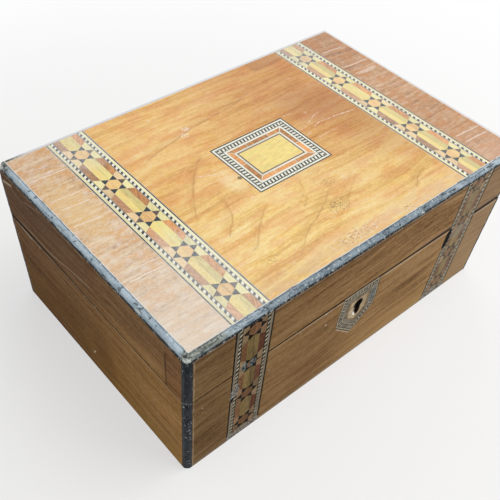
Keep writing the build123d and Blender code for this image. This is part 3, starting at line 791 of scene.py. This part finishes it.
def ebonised(name, seed, run):
    """Black polish on pale wood, grey on top with dust and a painted sky reflection, a painted highlight at
    the top, and pale wood where the strip is worn deep.
    """
    finish = Finish(name, 0.3, 0.10)
    x, y, z = finish.x, finish.y, finish.z
    stretch = {axis: 9.0 if axis == run else 1.5 for axis in "xyz"}
    facing = finish.start.node("TexCoord", output="Normal")
    upward = finish.start.node("SeparateXYZ", inputs={0: facing}, output=2).rise(0.30, 0.80)
    wear = finish.start.node("Attribute", {"attribute_name": "wear"}, output=2)
    streaks = clouds(x / stretch["x"], y / stretch["y"], z / stretch["z"] + seed, 4.0, 0.6)
    chalk = clouds(x / 14, y / 14, z / 14 + seed, 3.0, 0.6)
    grit = clouds(x / 1.2, y / 1.2, z / 1.2 + seed, 3.0, 0.6)
    dusty = (chalk * 0.55 + streaks * 0.5 + grit * 0.2).rise(0.48, 0.74)
    dirty = (streaks * 0.6 + chalk * 0.3 + grit * 0.4).rise(0.52, 0.78)
    in_front = (1 - y.rise(VENEER_FRONT - 1.0, VENEER_FRONT + 1.0)) * x.rise(-110.0, -80.0)
    corner = (1 - y.rise(VENEER_FRONT - 1.0, VENEER_FRONT + 4.0)).at_least(y.rise(78.0, 90.0))
    far = y.rise(86.0, 93.0).at_least(x.rise(140.0, 148.0)) * x.rise(-146.0, -130.0)
    # dust and wear on the upward faces, together with a painted reflection of the bright sky
    top_dust_and_sheen = layered(
        mixed(dusty, (0.10, 0.145, 0.19), (0.46, 0.55, 0.62)),
        ((1 - x.rise(-150.0, -146.0)) * 0.55, (0.50, 0.62, 0.71)),
        (in_front * (1 - x.rise(50.0, 80.0)), (0.62, 0.64, 0.66), STAIN),
        ((1 - x.rise(-130.0, -118.0)) * corner, mixed(dirty, (0.050, 0.060, 0.055), (0.34, 0.37, 0.33))),
        (far * 0.9, (0.74, 0.73, 0.75)),
    )
    near = 1 - far
    inner = ridge(abs(x), VENEER_SIDE + 0.8, 0.5).at_least(ridge(y, VENEER_FRONT - 0.8, 0.5))
    fleck = clouds(x / 1.5, y / 1.5, z / 1.5 + seed + 5, 3.0, 0.7).rise(0.57, 0.63)
    if run == "z":
        fleck = fleck * clouds(x / 4, y / 4, z / 9 + seed, 2.0).rise(0.50, 0.62)
        wear = wear * 0.8
    bare = (wear * near + (grit - 0.5) * 1.6).rise(0.76, 1.10).at_least(fleck * 0.7)
    chip = clouds(x / 4, y / 4, z / 4 + seed + 7, 2.0).rise(0.62, 0.66)
    beside_end = ridge(abs(x), VENEER_SIDE + 0.2, 0.5) * (y > VENEER_FRONT)
    beside_front = ridge(y, VENEER_FRONT - 0.2, 0.5) * (abs(x) < VENEER_SIDE)
    glue = beside_end.at_least(beside_front) * upward * clouds(x / 7, y / 7, seed + 9.0, 3.0).rise(0.34, 0.52)
    tint = layered(
        mixed(streaks.rise(0.4, 0.7), (0.003, 0.005, 0.007), (0.020, 0.030, 0.038)),
        # painted highlight along the rounded top of the upright faces
        (z.rise(TOP - 1.7, TOP - 0.7) * 0.8, (0.24, 0.31, 0.37)),
        (upward, top_dust_and_sheen),
        (inner * upward * 0.75 * near, (0.02, 0.025, 0.025)),
        (bare * 0.9, (0.70, 0.74, 0.70)),
        (chip * upward * 0.7 * near, (0.035, 0.045, 0.050)),
        (glue * 0.9, (0.92, 0.92, 0.90)),
    )
    finish.feed(Base_Color=tint, Roughness=0.34 + chalk * 0.3)
    finish.relief(streaks - bare * 0.5, 0.15)
    return finish.material


for index, (name, strip) in enumerate(worn_strips.items()):
    run = "z" if "corner" in name else "x" if name.endswith(("front", "back")) else "y"
    dress(strip, ebonised(strip.name, index * 3.0, run))
print("edging dressed")

# %% [markdown]
# ## Inlay
#
# Inlay is a jigsaw of thin woods. Here every piece starts as a flat face in a drawing of its own:
# millimetres from the middle of the inlay, with its face up. When the drawing is done, each face is
# cut loose from its neighbours, and sides that are too short for a joint are closed up, because an
# inset would turn them over. Its rim is sunk a hair to make the joint, it is lowered by a few
# hundredths as old inlay is, and it gets the thickness of the veneer. Its grain comes from a UV map
# in millimetres that is turned for each piece, and its shade from a number of its own. A border is
# made as a joiner plans it: the whole field is inset by the width of each line in turn.

# %% Drawing inlay
VENEER = 1.0
JOINT = 0.09
JOINT_DEPTH = 0.05
UNEVEN = 0.06
WOODS = ["ebony", "fumed", "smoke", "box", "holly", "satin", "maple", "lime", "birch", "pear", "rose",
         "tulip", "glue"]
random.seed(7)


class Drawing:
    """A flat drawing of inlay, in millimetres, that becomes one piece of thin woods."""

    def __init__(self):
        self.bm = bmesh.new()
        self.wood = self.bm.faces.layers.int.new("wood")
        self.turn = self.bm.faces.layers.float.new("turn")
        self.tone = self.bm.faces.layers.float.new("tone")

    def mark(self, face, wood, turn=0.0):
        """Say which wood a face is, which way its grain runs in degrees, and give it a shade."""
        face[self.wood] = WOODS.index(wood)
        face[self.turn] = math.radians(turn)
        face[self.tone] = random.random()
        return face

    def tile(self, corners, wood, turn=0.0):
        """One piece with these corners."""
        face = self.bm.faces.new([self.bm.verts.new((x, y, 0.0)) for x, y in corners])
        face.normal_update()
        return self.mark(face, wood, turn)

    def strip(self, x_range, y_range, wood, turn=0.0, lean=0.0):
        """One piece with straight sides and ends that lean by so many millimetres."""
        (x0, x1), (y0, y1) = x_range, y_range
        corners = [(x0, y0 - lean), (x1, y0 + lean), (x1, y1 + lean), (x0, y1 - lean)]
        return self.tile(corners, wood, turn)

    def cut(self, place, outward):
        """Cut everything off that lies beyond a line, given by a point and the way off."""
        bmesh.ops.bisect_plane(
            self.bm,
            geom=self.bm.verts[:] + self.bm.edges[:] + self.bm.faces[:],
            plane_co=(*place, 0.0),
            plane_no=(*outward, 0.0),
            clear_outer=True,
        )

    def split(self, faces, place, normal):
        """Cut these faces through along a line, and return all the pieces."""
        around = {part for face in faces for part in (*face.verts, *face.edges)}
        cut = bmesh.ops.bisect_plane(self.bm, geom=[*around, *faces], plane_co=place, plane_no=normal)
        return [part for part in cut["geom"] if isinstance(part, bmesh.types.BMFace)]

    def border(self, face, lines):
        """Lay lines of wood round a field, each given by its width and wood, from outside in."""
        laid = []
        for width, wood in lines:
            sides = bmesh.ops.inset_region(
                self.bm, faces=[face], thickness=width, use_boundary=True, use_even_offset=True)["faces"]
            laid += [(side, wood) for side in sides]
        bmesh.ops.split_edges(self.bm, edges=self.bm.edges[:])
        for side, wood in laid:
            rim = max(side.edges, key=lambda edge: edge.calc_length())
            ends = [vert.co.copy() for vert in rim.verts]
            along = (ends[1] - ends[0]).normalized()
            heading = math.degrees(math.atan2(along.y, along.x))
            if wood == "check":
                self.chequer(side, (ends[0] + ends[1]) / 2, along, heading)
            elif wood in ("tulip", "rose"):
                self.crossband(side, ends, along, heading, wood)
            else:
                self.mark(side, wood, heading)

    def chequer(self, side, middle, along, heading):
        """Cut one side of a border into short dark and light pieces, alike from its middle outwards."""
        reach = max(abs((vert.co - middle).dot(along)) for vert in side.verts)
        pieces = [side]
        leaning = Matrix.Rotation(RING_LEAN, 3, "Z") @ along
        for step in range(int(reach / RING_PITCH) + 1):
            for place in (step * RING_PITCH + RING_DARK / 2, (step + 1) * RING_PITCH - RING_DARK / 2):
                if place < reach - SLIVER:
                    for way in (-1, 1):
                        pieces = self.split(pieces, middle + along * place * way, leaning)
        for piece in pieces:
            place = (piece.calc_center_median() - middle).dot(leaning) / leaning.dot(along)
            dark = (place + RING_DARK / 2) % RING_PITCH < RING_DARK
            self.mark(piece, "ebony" if dark else "holly", heading)

    def crossband(self, side, ends, along, heading, wood):
        """Cut one side of a border into lengths with the grain across, and pale glue between them."""
        length = (ends[1] - ends[0]).length
        shares = JOINT_SHARES.get(round(abs(heading)) % 180, ())
        cuts = [(ends[0] + along * (length * share + gap), along)
                for share in shares for gap in (0, GLUE_LINE)]
        for end, way in ((ends[0], 1.0), (ends[1], -1.0)):
            others = [vert for vert in side.verts if all((vert.co - co).length > SLIVER for co in ends)]
            inner = min(others, key=lambda vert: (vert.co - end).length)
            mitre = (inner.co - end).normalized()
            cuts.append((end + along * way * GLUE_LINE, mitre.cross(Vector((0.0, 0.0, 1.0)))))
        pieces = [side]
        for place, normal in cuts:
            pieces = self.split(pieces, place, normal)
        widest = max(piece.calc_area() for piece in pieces)
        for piece in pieces:
            glue = piece.calc_area() < widest * GLUE_SHARE
            self.mark(piece, "holly" if glue else wood, heading + 90.0)

    def finish(self, name, place, finishes):
        """Turn the drawing into a piece, placed by a matrix in millimetres."""
        bm = self.bm
        bmesh.ops.split_edges(bm, edges=bm.edges[:])
        for face in bm.faces:
            face.normal_update()
            if face.normal.z < 0:
                face.normal_flip()
        short = [edge for edge in bm.edges if edge.calc_length() < 2 * JOINT]
        bmesh.ops.collapse(bm, edges=short)
        tops = bm.faces[:]
        rims = bmesh.ops.inset_individual(bm, faces=tops, thickness=JOINT, depth=0.0)["faces"]
        for face in tops:
            lift = -random.random() * UNEVEN
            for vert in face.verts:
                vert.co.z = lift
        inner = {vert for face in tops for vert in face.verts}
        for face in rims:
            face[self.wood] = WOODS.index("glue")
            for vert in face.verts:
                if vert not in inner:
                    vert.co.z = -UNEVEN - JOINT_DEPTH
        bmesh.ops.solidify(bm, geom=bm.faces[:], thickness=VENEER - UNEVEN - JOINT_DEPTH)
        bmesh.ops.recalc_face_normals(bm, faces=bm.faces[:])
        self.unwrap()
        for face in bm.faces:
            face.material_index = face[self.wood]
        bmesh.ops.transform(bm, matrix=Matrix.Diagonal((MM, MM, MM, 1.0)) @ place, verts=bm.verts[:])
        piece = add_piece(name, bm)
        dress(piece, *[finishes[wood] for wood in WOODS])
        return piece

    def unwrap(self):
        """A UV map in millimetres, turned to each piece's grain and thrown far apart."""
        grain = self.bm.loops.layers.uv.new("grain")
        for face in self.bm.faces:
            turn = Matrix.Rotation(-face[self.turn], 2)
            throw = Vector((face[self.tone] * 997, face[self.tone] * 613))
            for loop in face.loops:
                loop[grain].uv = turn @ loop.vert.co.xy + throw


print("woods", WOODS)

# %% [markdown]
# ## Woods of the inlay
#
# Thirteen finishes cover all the inlay: black-stained wood and two greyer ones, cream boxwood,
# whiter holly, two yellows for the panels, pale lime and pinkish birch, orange pear, brownish
# rosewood and streaky tulipwood for the panels' sides, and the pale old glue in the joints.
# Each wood reads its fibres from the UV map and its shade from the piece's own number. The inlay on
# the front has darkened with polish and dirt, and takes the same woods in deeper tones. A list of
# places says where pieces are lost or dirt fills them, and where a haze lies over the top's bands;
# the hollows where pieces are lost deepest are filled with painted shade.


# %% Woods
def inlay_wood(name, tint, contrast, vein=None, dirt=0.12, shine=0.2, losses=(), across="z"):
    """Thin wood with fibres and veins along its grain, some dirt, and places where it is lost or hazy."""
    finish = Finish(name, 0.4, shine)
    start = finish.start
    grain = start.node("UVMap", {"uv_map": "grain"})
    u, v = [start.node("SeparateXYZ", inputs={0: grain}, output=axis) for axis in range(2)]
    tone = start.node("Attribute", {"attribute_name": "tone"}, output=2)
    fibre = clouds(u / 14, v / 0.6, tone * 40, 3.0, 0.6)
    cloud = clouds(u / 5, v / 2.5, tone * 40 + 9, 2.0)
    shade = 0.5 + (tone - 0.5) * contrast + (fibre - 0.5) * contrast * 1.8 + (cloud - 0.5) * contrast
    deep = tuple(channel * 0.45 for channel in tint)
    pale = tuple(min(0.95, channel * 1.2 + 0.02) for channel in tint)
    colour = start.node("ValToRGB", {"stops": [(0.0, deep), (0.5, tint), (1.0, pale)]}, {0: shade})
    spread = clouds(finish.x / 6, finish.y / 6, finish.z / 6, 4.0, 0.7).rise(0.45, 0.75)
    crumbs = clouds(finish.x / 1.4, finish.y / 1.4, finish.z / 1.4, 3.0, 0.6)
    layers = [(spread * dirt, tuple(channel * 0.35 for channel in tint))]
    if vein:
        layers.append((clouds(u / 22, v / 1.3, tone * 70 + 3, 3.0, 0.6).rise(0.52, 0.64) * 0.65, vein))
    layers.append((crumbs.rise(0.50, 0.66) * dirt, deep))
    if across == "z":  # the front's right band is paler than its left one
        layers.append((finish.x.rise(80.0, 90.0), (1.28, 1.30, 1.32), STAIN))
    second = getattr(finish, across)
    for centre, radii, low, high, much in losses:
        lost = (spot(finish.x, second, centre, radii) + (crumbs - 0.5) * 0.8).rise(0.10, 0.45)
        layers.append((lost * much, mixed(crumbs.rise(0.42, 0.58), low, high)))
    finish.feed(Base_Color=layered(colour, *layers))
    finish.relief(fibre, 0.03)
    return finish.material


TOP_TINTS = {
    "ebony": ((0.030, 0.046, 0.055), 0.6),
    "fumed": ((0.15, 0.105, 0.085), 0.7),
    "smoke": ((0.19, 0.19, 0.18), 0.5),
    "box": ((0.94, 0.88, 0.55), 0.25),
    "holly": ((0.88, 0.88, 0.74), 0.30),
    "satin": ((0.93, 0.755, 0.27), 0.30, (0.93, 0.60, 0.24)),
    "maple": ((0.87, 0.72, 0.27), 0.40, (0.62, 0.53, 0.26)),
    "lime": ((0.93, 0.83, 0.42), 0.30),
    "birch": ((0.95, 0.71, 0.40), 0.35, (0.94, 0.62, 0.34)),
    "pear": ((0.93, 0.60, 0.25), 0.40, (0.90, 0.48, 0.17)),
    "rose": ((0.66, 0.36, 0.19), 0.70, (0.48, 0.23, 0.13)),
    "tulip": ((0.76, 0.36, 0.13), 0.80, (0.52, 0.18, 0.06)),
    "glue": ((0.68, 0.61, 0.52), 0.4),
}
FRONT_TINTS = {
    "ebony": ((0.007, 0.008, 0.007), 0.5),
    "fumed": ((0.030, 0.020, 0.016), 0.5),
    "smoke": ((0.020, 0.016, 0.012), 0.4),
    "box": ((0.25, 0.205, 0.145), 0.70),
    "holly": ((0.50, 0.45, 0.34), 0.60),
    "satin": ((0.27, 0.185, 0.070), 0.60, (0.12, 0.075, 0.030)),
    "maple": ((0.25, 0.170, 0.070), 0.60, (0.08, 0.052, 0.022)),
    "lime": ((0.33, 0.225, 0.125), 0.60),
    "birch": ((0.29, 0.175, 0.095), 0.60),
    "pear": ((0.25, 0.125, 0.060), 0.60, (0.15, 0.07, 0.035)),
    "rose": ((0.23, 0.110, 0.050), 0.70, (0.10, 0.040, 0.02)),
    "tulip": ((0.16, 0.060, 0.032), 0.80, (0.08, 0.024, 0.014)),
    "glue": ((0.050, 0.036, 0.024), 0.3),
}
SHIELD_TINTS = {
    **FRONT_TINTS,
    "ebony": ((0.085, 0.078, 0.062), 0.6),
    "holly": ((0.46, 0.41, 0.31), 0.60),
    "box": ((0.50, 0.43, 0.31), 0.60),
    "pear": ((0.40, 0.23, 0.090), 0.50),
    "tulip": ((0.24, 0.205, 0.150), 0.80, (0.12, 0.10, 0.075)),
    "birch": ((0.52, 0.40, 0.235), 0.60),
    "glue": ((0.14, 0.115, 0.085), 0.3),
}
TOP_HAZE = [  # middle, half size, the two tones of the haze, and how much
    ((-104.0, -85.0), (30.0, 75.0), (0.66, 0.66, 0.64), (0.98, 0.98, 0.98), 0.26),
    ((-104.0, 88.0), (30.0, 40.0), (0.52, 0.52, 0.52), (0.90, 0.90, 0.92), 0.24),
    ((104.0, 0.0), (26.0, 130.0), (0.44, 0.42, 0.40), (0.74, 0.72, 0.70), 0.18),
    ((104.0, 90.0), (26.0, 30.0), (0.40, 0.38, 0.36), (0.66, 0.64, 0.62), 0.26),
]
# painted shade that fills the hollows where pieces are lost
HOLLOW_SHADE = (0.005, 0.004, 0.004)
FRONT_LOSSES = [  # middle, half size, the two tones that fill the place, and how much
    ((104.0, 62.0), (18.0, 80.0), (0.22, 0.19, 0.15), (0.40, 0.35, 0.27), 0.24),
    ((104.0, 105.0), (8.0, 13.0), (0.30, 0.24, 0.15), (0.42, 0.34, 0.22), 0.30),
    ((104.0, 72.0), (13.0, 8.0), (0.24, 0.23, 0.20), (0.46, 0.43, 0.36), 0.35),
    ((90.8, 70.5), (3.6, 12.0), HOLLOW_SHADE, HOLLOW_SHADE, 1.0),
    ((118.4, 77.0), (1.8, 4.5), HOLLOW_SHADE, (0.05, 0.045, 0.04), 0.9),
    ((-109.0, 82.6), (3.0, 4.6), (0.007, 0.009, 0.009), (0.22, 0.28, 0.27), 0.90),
    ((-102.6, 82.6), (3.0, 4.6), (0.007, 0.009, 0.009), (0.20, 0.25, 0.26), 0.90),
    ((-113.6, 62.5), (2.8, 7.5), (0.03, 0.03, 0.026), (0.36, 0.37, 0.34), 0.75),
    ((-117.2, 57.5), (2.2, 6.5), (0.05, 0.05, 0.045), (0.50, 0.50, 0.46), 0.80),
    ((-116.6, 52.5), (1.3, 3.0), HOLLOW_SHADE, HOLLOW_SHADE, 1.0),
    ((-104.0, 2.0), (20.0, 7.0), (0.10, 0.090, 0.075), (0.44, 0.42, 0.38), 0.80),
    ((104.0, 2.0), (20.0, 7.0), (0.10, 0.090, 0.075), (0.44, 0.42, 0.38), 0.80),
]
SHIELD_LOSSES = [
    ((10.0, 65.0), (3.4, 9.0), (0.05, 0.06, 0.065), (0.24, 0.28, 0.29), 0.75),
    ((-9.0, 58.0), (4.0, 6.0), (0.40, 0.33, 0.22), (0.80, 0.70, 0.52), 0.60),
]


def all_woods(part, tints, **settings):
    """A finish for each wood, as it looks on one part of the box."""
    return {wood: inlay_wood(f"{wood}_{part}", *tints[wood], **settings) for wood in WOODS}


top_woods = all_woods("top", TOP_TINTS, losses=TOP_HAZE, across="y")
front_woods = all_woods("front", FRONT_TINTS, dirt=0.55, shine=0.006, losses=FRONT_LOSSES)
shield_woods = all_woods("shield", SHIELD_TINTS, dirt=0.55, shine=0.01, losses=SHIELD_LOSSES)
print("made", len(top_woods) + len(front_woods) + len(shield_woods), "woods")

# %% [markdown]
# ## The bands
#
# Everything in the middle of a band lies on a lattice of equal triangles. A star is a hexagon in
# two halves with six dark triangles on its sides, and four pale pieces between those. Between two
# stars lies a long yellow panel in two halves, with a red quarter on each side. A thin grey line, a
# row of little leaning checks, and lines of cream and black close the band on both sides.

# %% Bands
SIDE = 5.3
HALF = SIDE * math.sqrt(3) / 2
INNER_LINE = 0.45
BLACK_LINE = 0.85
GLUE_EDGE = 0.4
CHECK = 1.95
CHECK_DARK = 2.0
CHECK_PITCH = 4.07
CHECK_LEAN = 0.5


def star(drawing, y):
    """One star of the band, with its middle at y."""
    for way in (-1, 1):
        half = [(0, -SIDE), (way * HALF, -SIDE / 2), (way * HALF, SIDE / 2), (0, SIDE)]
        drawing.tile([(u, v + y) for u, v in half], "pear", 90 if way > 0 else 80)
        point = [(way * HALF, -SIDE / 2), (way * 2 * HALF, 0), (way * HALF, SIDE / 2)]
        drawing.tile([(u, v + y) for u, v in point], random.choice(("fumed", "fumed", "ebony")), 90)
        for up in (-1, 1):
            point = [(0, up * SIDE), (way * HALF, up * SIDE / 2), (way * HALF, up * SIDE * 1.5)]
            drawing.tile([(u, v + y) for u, v in point], "ebony", 90)
            corner = [(2, 0), (1, 0.5), (1, 1.5), (2, 2)]
            corner = [(way * HALF * u, y + up * SIDE * v) for u, v in corner]
            pinkish = random.random() < (0.7 if way < 0 else 0.15)
            drawing.tile(corner, "birch" if pinkish else "lime", 60)


def panel(drawing, low, high):
    """What lies between two stars with their middles at low and high."""
    near, far = low + SIDE, high - SIDE
    half = SIDE / 2
    for way, wood, outer in ((-1, "satin", "rose"), (1, "maple", "tulip")):
        side = way * HALF
        drawing.tile([(0, near), (side, near + half), (side, far - half), (0, far)], wood, 90)
        quarter = [(side, near + half), (2 * side, near + SIDE), (2 * side, far - SIDE), (side, far - half)]
        drawing.tile(quarter, outer, 90 - way * 28)


def band(name, node, stars, finishes, place, ends):
    """A whole band: its stars by their middles, and its two ends, in millimetres along it."""
    drawing = Drawing()
    pitch = stars[1] - stars[0]
    for y in stars:
        star(drawing, y)
    for low, high in zip([stars[0] - pitch] + stars, stars + [stars[-1] + pitch]):
        panel(drawing, low, high)
    low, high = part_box(node)
    outside = (high.x - low.x) / MM / 2
    for way in (-1, 1):
        edge = 2 * HALF
        cream = outside - edge - INNER_LINE - CHECK - BLACK_LINE - GLUE_EDGE
        for width, wood in ((INNER_LINE, "smoke"), (CHECK, "check"), (cream, "box"), (BLACK_LINE, "ebony"),
                            (GLUE_EDGE, "glue")):
            across = sorted((way * edge, way * (edge + width)))
            if wood == "check":
                y = ends[0] - CHECK_PITCH
                while y < ends[1] + CHECK_LEAN:
                    drawing.strip(across, (y, y + CHECK_DARK), "ebony", 90, CHECK_LEAN)
                    drawing.strip(across, (y + CHECK_DARK, y + CHECK_PITCH), "holly", 90, CHECK_LEAN)
                    y += CHECK_PITCH
            else:
                drawing.strip(across, ends, wood, 90)
            edge += width
    drawing.cut((0.0, ends[0]), (0.0, -1.0))
    drawing.cut((0.0, ends[1]), (0.0, 1.0))
    return drawing.finish(name, place, finishes)


TOP_PITCH = 37.2
for side in ("left", "right"):
    node = f"top_band_{side}"
    low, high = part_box(node)
    middle = (low + high) / 2 / MM
    reach = (high.y - low.y) / MM / 2
    place = Matrix.Translation((middle.x, middle.y, high.z / MM))
    stars = [TOP_PITCH * step for step in range(-2, 3)]
    piece = band(f"inlaid_{node}", node, stars, top_woods, place, (-reach, reach))
    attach(piece, "lid")
    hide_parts(node)
    print(piece.name, len(piece.data.polygons), "faces")

# %% [markdown]
# ## The bands on the front
#
# The same bands run on down the front. They were glued on before the lid was sawn off the base, so
# the saw took a slice out of the star that lay across the seam, and each half of it is a little
# short of a half.

# %% The bands on the front
FRONT_STARS = {"lid": (9.0, 44.3), "base": (41.3, 75.1, 108.9)}  # the stars' middles below the box's top
UPRIGHT = Matrix.Rotation(math.pi / 2, 4, "X")
for body, drops in FRONT_STARS.items():
    for side in ("left", "right"):
        node = f"{body}_front_band_{side}"
        low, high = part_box(node)
        middle_x = (low.x + high.x) / 2 / MM
        place = Matrix.Translation((middle_x, low.y / MM, 0.0)) @ UPRIGHT
        stars = sorted(TOP - drop for drop in drops)
        piece = band(f"inlaid_{node}", node, stars, front_woods, place, (low.z / MM, high.z / MM))
        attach(piece, body)
        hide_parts(node)
        print(piece.name, len(piece.data.polygons), "faces")

# %% [markdown]
# ## The cartouche
#
# A small framed panel sits in the middle of the lid. It starts as one rectangle, and its border is
# inset line by line: black, cream, black, a row of checks, black, cream, a crossband of tulipwood
# with pale glue in its mitres, cream, and black. What is left in the middle is the yellow field.

# %% The cartouche
RING_PITCH = 2.85
RING_DARK = 1.3
RING_LEAN = math.radians(-10)
GLUE_LINE = 0.45
GLUE_SHARE = 0.12
SLIVER = 0.2
JOINT_SHARES = {0: (0.27, 0.66), 90: (0.45,)}  # where level and upright crossbands are pieced
CARTOUCHE_LINES = [
    (1.0, "ebony"), (1.4, "holly"), (0.8, "ebony"), (3.1, "check"), (0.5, "ebony"),
    (1.5, "holly"), (3.5, "tulip"), (1.4, "holly"), (1.0, "fumed"),
]
low, high = [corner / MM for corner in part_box("cartouche")]
drawing = Drawing()
half_x, half_y = (high.x - low.x) / 2, (high.y - low.y) / 2
field = drawing.strip((-half_x, half_x), (-half_y, half_y), "satin", 12.0)
drawing.border(field, CARTOUCHE_LINES)
place = Matrix.Translation(((low.x + high.x) / 2, (low.y + high.y) / 2, high.z))
cartouche = drawing.finish("inlaid_cartouche", place, top_woods)
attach(cartouche, "lid")
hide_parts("cartouche")
print("cartouche", len(cartouche.data.polygons), "faces")

# %% [markdown]
# ## The escutcheon
#
# The shield round the keyhole is bordered the same way. Its field is in two mirrored halves that
# meet above and below the keyhole, and the keyhole's outline is cut out of them: a round eye with a
# slot below it that ends in a half circle, just as wide as the brass bush that sits in it.

# %% The escutcheon
SHIELD = [(17.9, 0.0), (19.75, 21.0), (19.0, 30.0)]  # half widths at drops below the seam
ESCUTCHEON_LINES = [
    (0.7, "ebony"), (1.2, "box"), (0.5, "ebony"), (2.6, "check"), (0.5, "ebony"),
    (1.0, "box"), (3.2, "tulip"), (0.9, "pear"), (0.4, "box"),
]
low, high = [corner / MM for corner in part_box("escutcheon_inlay")]
bush_low, bush_high = [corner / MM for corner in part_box("keyhole_bush")]
eye_radius = (bush_high.x - bush_low.x) / 2
eye_drop = high.z - (bush_high.z - eye_radius)
slot_drop = high.z - bush_low.z
SLOT_HALF = 3.2
SLOT_STEPS, EYE_STEPS = 6, 8

drawing = Drawing()
right_side = [(half, -drop) for half, drop in SHIELD]
left_side = [(-half, -drop) for half, drop in reversed(SHIELD)]
field = drawing.tile([*right_side, (0.0, low.z - high.z), *left_side], "birch")
drawing.border(field, ESCUTCHEON_LINES)


def keyhole_side(way):
    """The keyhole's outline down one side, from its lowest point to its highest."""
    points = []
    for step in range(SLOT_STEPS + 1):
        angle = math.radians(90 * step / SLOT_STEPS)
        points.append((way * SLOT_HALF * math.sin(angle), -slot_drop + SLOT_HALF * (1 - math.cos(angle))))
    meet = math.asin(SLOT_HALF / eye_radius)
    for step in range(EYE_STEPS + 1):
        angle = meet + (math.pi - meet) * step / EYE_STEPS
        points.append((way * eye_radius * math.sin(angle), -eye_drop - eye_radius * math.cos(angle)))
    return points


inside = [(vert.co.x, vert.co.y) for vert in field.verts]
bmesh.ops.delete(drawing.bm, geom=[field], context="FACES_ONLY")
highest = max(y for x, y in inside)
lowest = min(y for x, y in inside)
for way in (-1, 1):
    rim = sorted((p for p in inside if p[0] * way > 0.01), key=lambda p: p[1], reverse=True)
    drawing.tile([(0.0, highest), *rim, (0.0, lowest), *keyhole_side(way)], "birch", 90 - way * 20)
place = Matrix.Translation(((low.x + high.x) / 2, low.y, high.z)) @ UPRIGHT
escutcheon = drawing.finish("inlaid_escutcheon", place, shield_woods)
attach(escutcheon, "base")
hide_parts("escutcheon_inlay")
print("escutcheon", len(escutcheon.data.polygons), "faces, eye radius", round(eye_radius, 2), "mm")

# %% [markdown]
# ## Boards, linings and metal
#
# The carcass is pine, stained brown where it shows. The well and the lid are lined with dark red
# paper that is blotched with age. Hinges, screws, lock plate and bush are brass that has gone brown
# in its hollows, with painted shade round the keyhole and a painted glint low in it, and the lock's
# case is dull iron.

# %% Boards and linings
PINE = [(0.13, 0.065, 0.025), (0.26, 0.145, 0.060), (0.38, 0.235, 0.11)]
grains = {"along": ("x", "z"), "ends": ("y", "z"), "flat": ("x", "y")}
boards = {}
for seed, (kind, (along, across)) in enumerate(grains.items()):
    board = Walnut(f"pine_{kind}", along, across, 71.0 + seed, ((40.0, -90.0), 0.35, 9.0), 0.30, 0.9,
                   0.55, 0.15)
    board.feed(Base_Color=board.stained(PINE), Roughness=0.5 + board.fibre * 0.15)
    board.relief(board.fibre - board.pore * 0.5, 0.08)
    boards[kind] = board.material
for name, piece in nodes.items():
    if name.endswith(("left_board", "right_board")):
        dress(piece, boards["ends"])
    elif name in ("bottom_board", "lid_top_board"):
        dress(piece, boards["flat"])
    elif name.endswith("board"):
        dress(piece, boards["along"])

lining = Finish("lining_paper", 0.85, 0.2)
x, y, z = lining.x, lining.y, lining.z
mottle = clouds(x / 9, y / 9, z / 9, 4.0, 0.6)
pulp = clouds(x / 0.7, y / 0.7, z / 0.7, 2.0)
blotched = clouds(x / 30, y / 24, z / 30 + 4.0, 2.0).rise(0.58, 0.66)
paper_red = mixed((mottle * 0.6 + pulp * 0.4).rise(0.3, 0.7), (0.085, 0.012, 0.018), (0.175, 0.035, 0.040))
lining.feed(Base_Color=mixed(blotched * 0.35, paper_red, (0.06, 0.015, 0.012)))
lining.relief(pulp, 0.05)
for name in ("base_lining", "lid_lining"):
    dress(nodes[name], lining.material)
print("boards and linings dressed")


# %% Metal
KEYHOLE = (bush_low + bush_high) / 2


def metal(name, bright, brown, tarnish, keyhole_shade=0.0, hole_glint=0.0):
    """Old metal with brown tarnish in patches, fine scratches, a soft shine, and painted shade and a painted
    glint round the keyhole.
    """
    finish = Finish(name, 0.4)
    x, y, z = finish.x, finish.y, finish.z
    patch = clouds(x / 4, y / 4, z / 4, 4.0, 0.65).rise(0.62 - tarnish, 0.92 - tarnish)
    rub = clouds(x / 6, y / 0.5, z / 0.5, 2.0)
    tint = mixed(patch, bright, brown)
    if keyhole_shade:
        # painted shade: the keyhole and what is seen through it go near black
        hole = spot(x, z, (KEYHOLE.x, KEYHOLE.z), (9.0, 14.0)).rise(0.0, 0.3)
        tint = mixed(hole * keyhole_shade, tint, (0.006, 0.005, 0.004))
        # painted glint at the keyhole's lower left
        glint = spot(x, z, (KEYHOLE.x - 2.0, KEYHOLE.z - 5.6), (3.0, 2.8)).rise(0.05, 0.5)
        tint = mixed(glint * hole_glint, tint, (1.0, 0.96, 0.85))
    finish.skin.inputs["Metallic"].default_value = 1.0
    finish.feed(Base_Color=tint, Roughness=0.28 + patch * 0.25 + rub * 0.15)
    finish.relief(rub - patch * 0.5, 0.03)
    return finish.material


brass = metal("old_brass", (0.60, 0.43, 0.17), (0.26, 0.16, 0.06), 0.25)
lock_brass = metal("lock_brass", (0.50, 0.36, 0.15), (0.22, 0.14, 0.06), 0.30, 0.95)
bush_brass = metal("bush_brass", (0.30, 0.22, 0.11), (0.10, 0.07, 0.04), 0.40, 0.80, 1.0)
iron = metal("dull_iron", (0.36, 0.35, 0.34), (0.14, 0.11, 0.09), 0.30)
for name, piece in nodes.items():
    if name in ("lock_case", "bolt_spring"):
        dress(piece, iron)
    elif name == "lock_plate":
        dress(piece, lock_brass)
    elif name == "keyhole_bush":
        dress(piece, bush_brass)
    elif name.startswith("hinge") or "screws" in name or name in ("lock_bolt", "link_plate"):
        dress(piece, brass)
print("metal dressed")

# %% Size
low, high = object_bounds()
